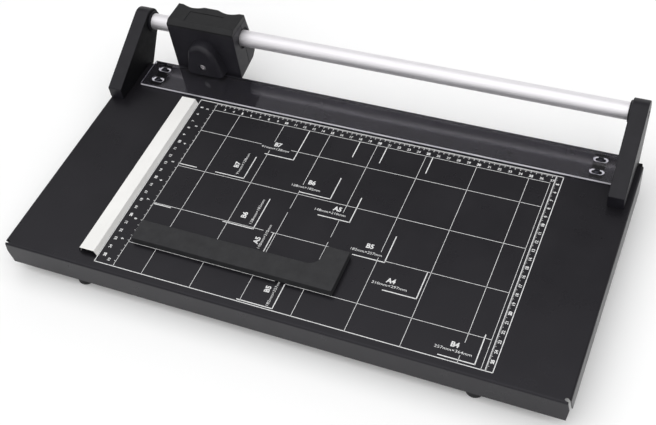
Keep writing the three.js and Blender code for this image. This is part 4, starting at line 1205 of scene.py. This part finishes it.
# Marks for paper that lies along the rail: the mark's corner, how far it reaches back along the
# rail and up to the cut, the format's name, its two sides, the name's place, and the place and
# width of the line with the sizes
FORMATS = [
    ((128, 91), 31, 41, "B7", (91, 128), (105.4, 76.7), (104.7, 82.3), 29.7),
    ((182, 127), 32, 27.5, "B6", (128, 182), (157.6, 113.0), (154.3, 120.5), 29.1),
    ((210, 148), 32, 31, "A5", (148, 210), (193.3, 136.2), (188.2, 142.0), 30.6),
    ((257, 181.5), 31, 30.8, "B5", (182, 257), (238.3, 168.2), (237.3, 175.3), 29.9),
    ((297, 210), 31.5, 30, "A4", (210, 297), (269.7, 198.7), (270.0, 204.2), 32.6),
    ((364, 257), 32, 30.5, "B4", (257, 364), (343.1, 243.6), (343.1, 249.5), 32.3),
]

# The same for paper that stands away from the rail, with lettering to be read from the right
UPRIGHT_FORMATS = [
    ((91, 127), 31, 29.5, "B7", (91, 128), (77.0, 112.1), (82.2, 109.5), 28.3),
    ((127, 181.5), 32, 38.2, "B6", (128, 182), (111.8, 168.3), (121.7, 161.3), 30.4),
    ((147.5, 210), 32, 30, "A5", (148, 210), (136.1, 192.7), (141.1, 186.5), 28.5),
    ((181.5, 258), 34.9, 27.4, "B5", (182, 257), (169.0, 239.8), (175.5, 242.0), 28.5),
]


def strokes(lines):
    """Thin flat bars, one for each line (x, y, x, y, width) on the table: the line's own
    direction and the direction across it give its four corners, once below and once above."""
    lines = np.array(lines, float)
    start, end, half = lines[:, :2], lines[:, 2:4], lines[:, 4:] / 2
    ahead = (end - start) / np.linalg.norm(end - start, axis=1, keepdims=True)
    across = np.column_stack([-ahead[:, 1], ahead[:, 0]]) * half
    flat = np.stack([start - across, end - across, end + across, start + across], 1)
    flat = np.stack([FIELD_LEFT + flat[..., 0], -flat[..., 1]], -1)
    low = np.concatenate([flat, np.full((*flat.shape[:2], 1), INK_SUNK)], -1)
    high = np.concatenate([flat, np.full((*flat.shape[:2], 1), INK_TOP)], -1)
    points = np.concatenate([low, high], 1).reshape(-1, 3)
    box = np.array([(0, 1, 2, 3), (4, 5, 6, 7), (0, 1, 5, 4), (1, 2, 6, 5), (2, 3, 7, 6),
                    (3, 0, 4, 7)])
    faces = (np.arange(len(lines))[:, None, None] * 8 + box).reshape(-1, 4).tolist()
    return points, faces


def letter_shape(text, weight):
    """A line of text as points and faces in the font's own units, with its middle at zero, and
    how long and how tall it is."""
    curve = bpy.data.curves.new("lettering", "FONT")
    curve.body = text
    curve.offset = weight
    curve.extrude = LETTER_DEPTH
    curve.resolution_u = LETTER_STEPS
    made = bpy.data.objects.new("lettering", curve)
    bpy.context.scene.collection.objects.link(made)
    graph = bpy.context.evaluated_depsgraph_get()
    mesh = bpy.data.meshes.new_from_object(made.evaluated_get(graph))
    points = np.zeros(len(mesh.vertices) * 3)
    mesh.vertices.foreach_get("co", points)
    points = points.reshape(-1, 3)
    faces = [list(face.vertices) for face in mesh.polygons]
    bpy.data.objects.remove(made)
    bpy.data.meshes.remove(mesh)
    low, high = points.min(0), points.max(0)
    points[:, :2] -= (low[:2] + high[:2]) / 2
    return points, faces, high[0] - low[0], high[1] - low[1]


# How tall a capital stands in the font's own units
CAPITAL = letter_shape("H", 0.0)[3]


def lettering(text, x, y, capital, width=None, weight=0.0, upright=False):
    """A printed line of text with its middle at a place on the table. Its capitals get the
    height asked for, and its length the width, where one is given. Upright text is turned a
    quarter turn, to be read from the right."""
    points, faces, long, _ = letter_shape(text, weight)
    tall = capital / CAPITAL
    wide = width / long if width else tall
    flat = points[:, :2] * (wide, tall)
    if upright:
        flat = np.column_stack([-flat[:, 1], flat[:, 0]])
    height = np.where(points[:, 2] > 0, INK_TOP, INK_SUNK)
    return np.column_stack([FIELD_LEFT + x + flat[:, 0], flat[:, 1] - y, height]), faces


def grid_lines():
    """The frame, the lines of the side rulers and the 50 mm grid."""
    lines = [(0, FRAME_REAR, FRAME_RIGHT, FRAME_REAR, FRAME_WIDTH),
             (FRAME_RIGHT, FRAME_REAR, FRAME_RIGHT, FRAME_FRONT, FRAME_WIDTH),
             (FRAME_RIGHT, FRAME_FRONT, 0, FRAME_FRONT, FRAME_WIDTH),
             (FRAME_LEFT, FRAME_FRONT, FRAME_LEFT, FRAME_REAR, FRAME_WIDTH),
             (LEFT_RULER, FRAME_REAR, LEFT_RULER, FRAME_FRONT, GRID_WIDTH),
             (GRID_RIGHT, GRID_REAR, GRID_RIGHT, FRAME_FRONT, GRID_WIDTH),
             (RIGHT_RULER, FRAME_REAR, RIGHT_RULER, FRAME_FRONT, FRAME_WIDTH)]
    for y, spans in ACROSS_LINES.items():
        lines += [(start, y, end, y, GRID_WIDTH) for start, end in spans]
    for x, spans in AWAY_LINES.items():
        lines += [(x, start, x, end, GRID_WIDTH) for start, end in spans]
    return lines


def ruler_ticks():
    """A tick for every millimetre, longer at each fifth, and one for every quarter inch."""
    lines = []
    for x in range(LEFT_RULER + 1, math.floor(RIGHT_RULER)):
        reach, width = TOP_TICK, TOP_TICK_WIDTH
        if x % 5 == 0:
            reach, width = TOP_LONG_TICK, TOP_LONG_TICK_WIDTH
        lines.append((x, FRAME_REAR, x, FRAME_REAR + reach, width))
    for y in range(FRAME_REAR + 1, FRAME_FRONT):
        reach = SIDE_TICK if y % 5 else SIDE_LONG_TICK
        lines.append((RIGHT_RULER, y, RIGHT_RULER + reach, y, TICK_WIDTH))
    for quarter in QUARTER_INCHES:
        y = quarter * INCH / 4
        lines.append((LEFT_RULER - INCH_TICK, y, LEFT_RULER, y, INCH_TICK_WIDTH))
    return lines


def format_marks():
    """The corner marks and the short marks for paper formats."""
    lines = []
    for (x, y), reach, depth, *_ in FORMATS + UPRIGHT_FORMATS:
        lines.append((x - reach, y, x, y, MARK_WIDTH))
        lines.append((x, y + MARK_WIDTH / 2, x, y - depth, MARK_WIDTH))
    lines += [(*mark, MARK_WIDTH) for mark in SIDE_MARKS]
    return lines


def rulings():
    """All printed lines as one piece."""
    made = raw("printed_rulings", strokes(grid_lines() + ruler_ticks() + format_marks()))
    dressed(made, "base", "black_powder_coat", ink, even=False)


def figure_weight(number):
    """Every fifth number of a ruler is bolder."""
    return FIGURE_WEIGHT if number % 5 else BOLD_WEIGHT


def figures():
    """The rulers' numbers and the names and sizes of the paper formats."""
    parts = []
    for number in TOP_NUMBERS:
        parts.append(lettering(str(number), 10 * number + TOP_FIGURE_SHIFT, TOP_FIGURE_Y,
                               FIGURE_HEIGHT, weight=figure_weight(number)))
    for number in SIDE_NUMBERS:
        for ruler_x in SIDE_FIGURES_X:
            parts.append(lettering(str(number), ruler_x, 10 * number, FIGURE_HEIGHT,
                                   weight=figure_weight(number), upright=True))
    for number in INCH_NUMBERS:
        parts.append(lettering(str(number), INCH_FIGURE_X, INCH * number, FIGURE_HEIGHT,
                               weight=INCH_WEIGHT, upright=True))
    for formats, upright in ((FORMATS, False), (UPRIGHT_FORMATS, True)):
        for _, _, _, name, (short, long), name_place, size_place, width in formats:
            parts.append(lettering(name, *name_place, NAME_HEIGHT, weight=NAME_WEIGHT,
                                   upright=upright))
            parts.append(lettering(f"{short}mm×{long}mm", *size_place, SIZE_HEIGHT, width,
                                   upright=upright))
    made = raw("printed_figures", together(parts))
    dressed(made, "base", "black_powder_coat", ink, even=False)


# Surroundings: places are in metres, the lens and its film in millimetres. The room is darkest
# where a direction points to the rear by more than the last share.

FLOOR_HALF = 3.0
FILM_WIDTH = 36.0
LENS = 59.274
CAMERA_PLACE = (0.3460, -0.5906, 0.7962)
CAMERA_RIGHT = (0.91594, 0.38308, -0.11959)
CAMERA_UP = (-0.22281, 0.73328, 0.64239)
CAMERA_BACK = (0.33378, -0.56174, 0.75699)
REARWARD_FULL = 0.6


def floor():
    """A plain pale floor."""
    corners = [(-FLOOR_HALF, -FLOOR_HALF, 0), (FLOOR_HALF, -FLOOR_HALF, 0),
               (FLOOR_HALF, FLOOR_HALF, 0), (-FLOOR_HALF, FLOOR_HALF, 0)]
    mesh = bpy.data.meshes.new("floor")
    mesh.from_pydata(corners, [], [[0, 1, 2, 3]])
    made = bpy.data.objects.new("floor", mesh)
    bpy.context.scene.collection.objects.link(made)
    mesh.materials.append(finish("pale_floor", Base_Color=colour("#fcfcfc"), Roughness=0.9,
                                 Specular_IOR_Level=0.0))


def surroundings_light(strength, rear_strength):
    """A grey room that gives soft light and grows darker towards the rear, seen as white by
    the camera."""
    world = bpy.data.worlds.new("room")
    bpy.context.scene.world = world
    world.use_nodes = True
    tree = world.node_tree
    background = tree.nodes["Background"]
    background.inputs["Color"].default_value = (1.0, 1.0, 1.0, 1.0)
    direction = add_node(tree, "ShaderNodeTexCoord").outputs["Generated"]
    rearward = add_node(tree, "ShaderNodeSeparateXYZ", {"Vector": direction}).outputs["Y"]
    fade = add_node(tree, "ShaderNodeMapRange",
                    {"Value": rearward, "From Min": 0.0, "From Max": REARWARD_FULL,
                     "To Min": strength, "To Max": rear_strength})
    path = add_node(tree, "ShaderNodeLightPath")
    level = add_node(tree, "ShaderNodeMapRange",
                     {"Value": path.outputs["Is Camera Ray"], "To Min": fade.outputs["Result"],
                      "To Max": 1.0})
    tree.links.new(level.outputs["Result"], background.inputs["Strength"])


def softbox(name, place, target, wide, high, power):
    """A large soft lamp that looks from its place to a target."""
    lamp = bpy.data.lights.new(name, "AREA")
    lamp.shape = "RECTANGLE"
    lamp.size = wide
    lamp.size_y = high
    lamp.energy = power
    made = bpy.data.objects.new(name, lamp)
    bpy.context.scene.collection.objects.link(made)
    made.location = place
    made.rotation_euler = (Vector(target) - Vector(place)).to_track_quat("-Z", "Y").to_euler()


def camera():
    """The photograph's viewpoint, solved from the printed rulings."""
    data = bpy.data.cameras.new("camera")
    data.sensor_width = FILM_WIDTH
    data.lens = LENS
    made = bpy.data.objects.new("camera", data)
    bpy.context.scene.collection.objects.link(made)
    turn = Matrix((CAMERA_RIGHT, CAMERA_UP, CAMERA_BACK)).transposed().to_4x4()
    made.matrix_world = Matrix.Translation(CAMERA_PLACE) @ turn
    bpy.context.scene.camera = made


camera()
tray()
bar()
feet()
fasteners()
rail()
bracket("moulded_bracket_left", "left_bracket", BRACKET_LEFT, -1)
bracket("moulded_bracket_right", "right_bracket", BRACKET_RIGHT, 1)
fence()
guard()
stop()
head_shells()
cap()
bushes()
cover()
blade()
plain_nodes()
rulings()
figures()

floor()
surroundings_light(strength=0.6, rear_strength=0.35)
softbox("top_softbox", (0.1, -0.3, 1.6), (0.1, -0.3, 0), wide=3.2, high=2.4, power=23)
softbox("rear_softbox", (0.1, 1.4, 0.6), (0.1, 0.4, 0), wide=2.6, high=0.6, power=5)
softbox("front_softbox", (0.5, -2.2, 1.3), (0, 0, 0), wide=3.0, high=1.8, power=12)
bpy.context.scene.view_settings.view_transform = "Standard"
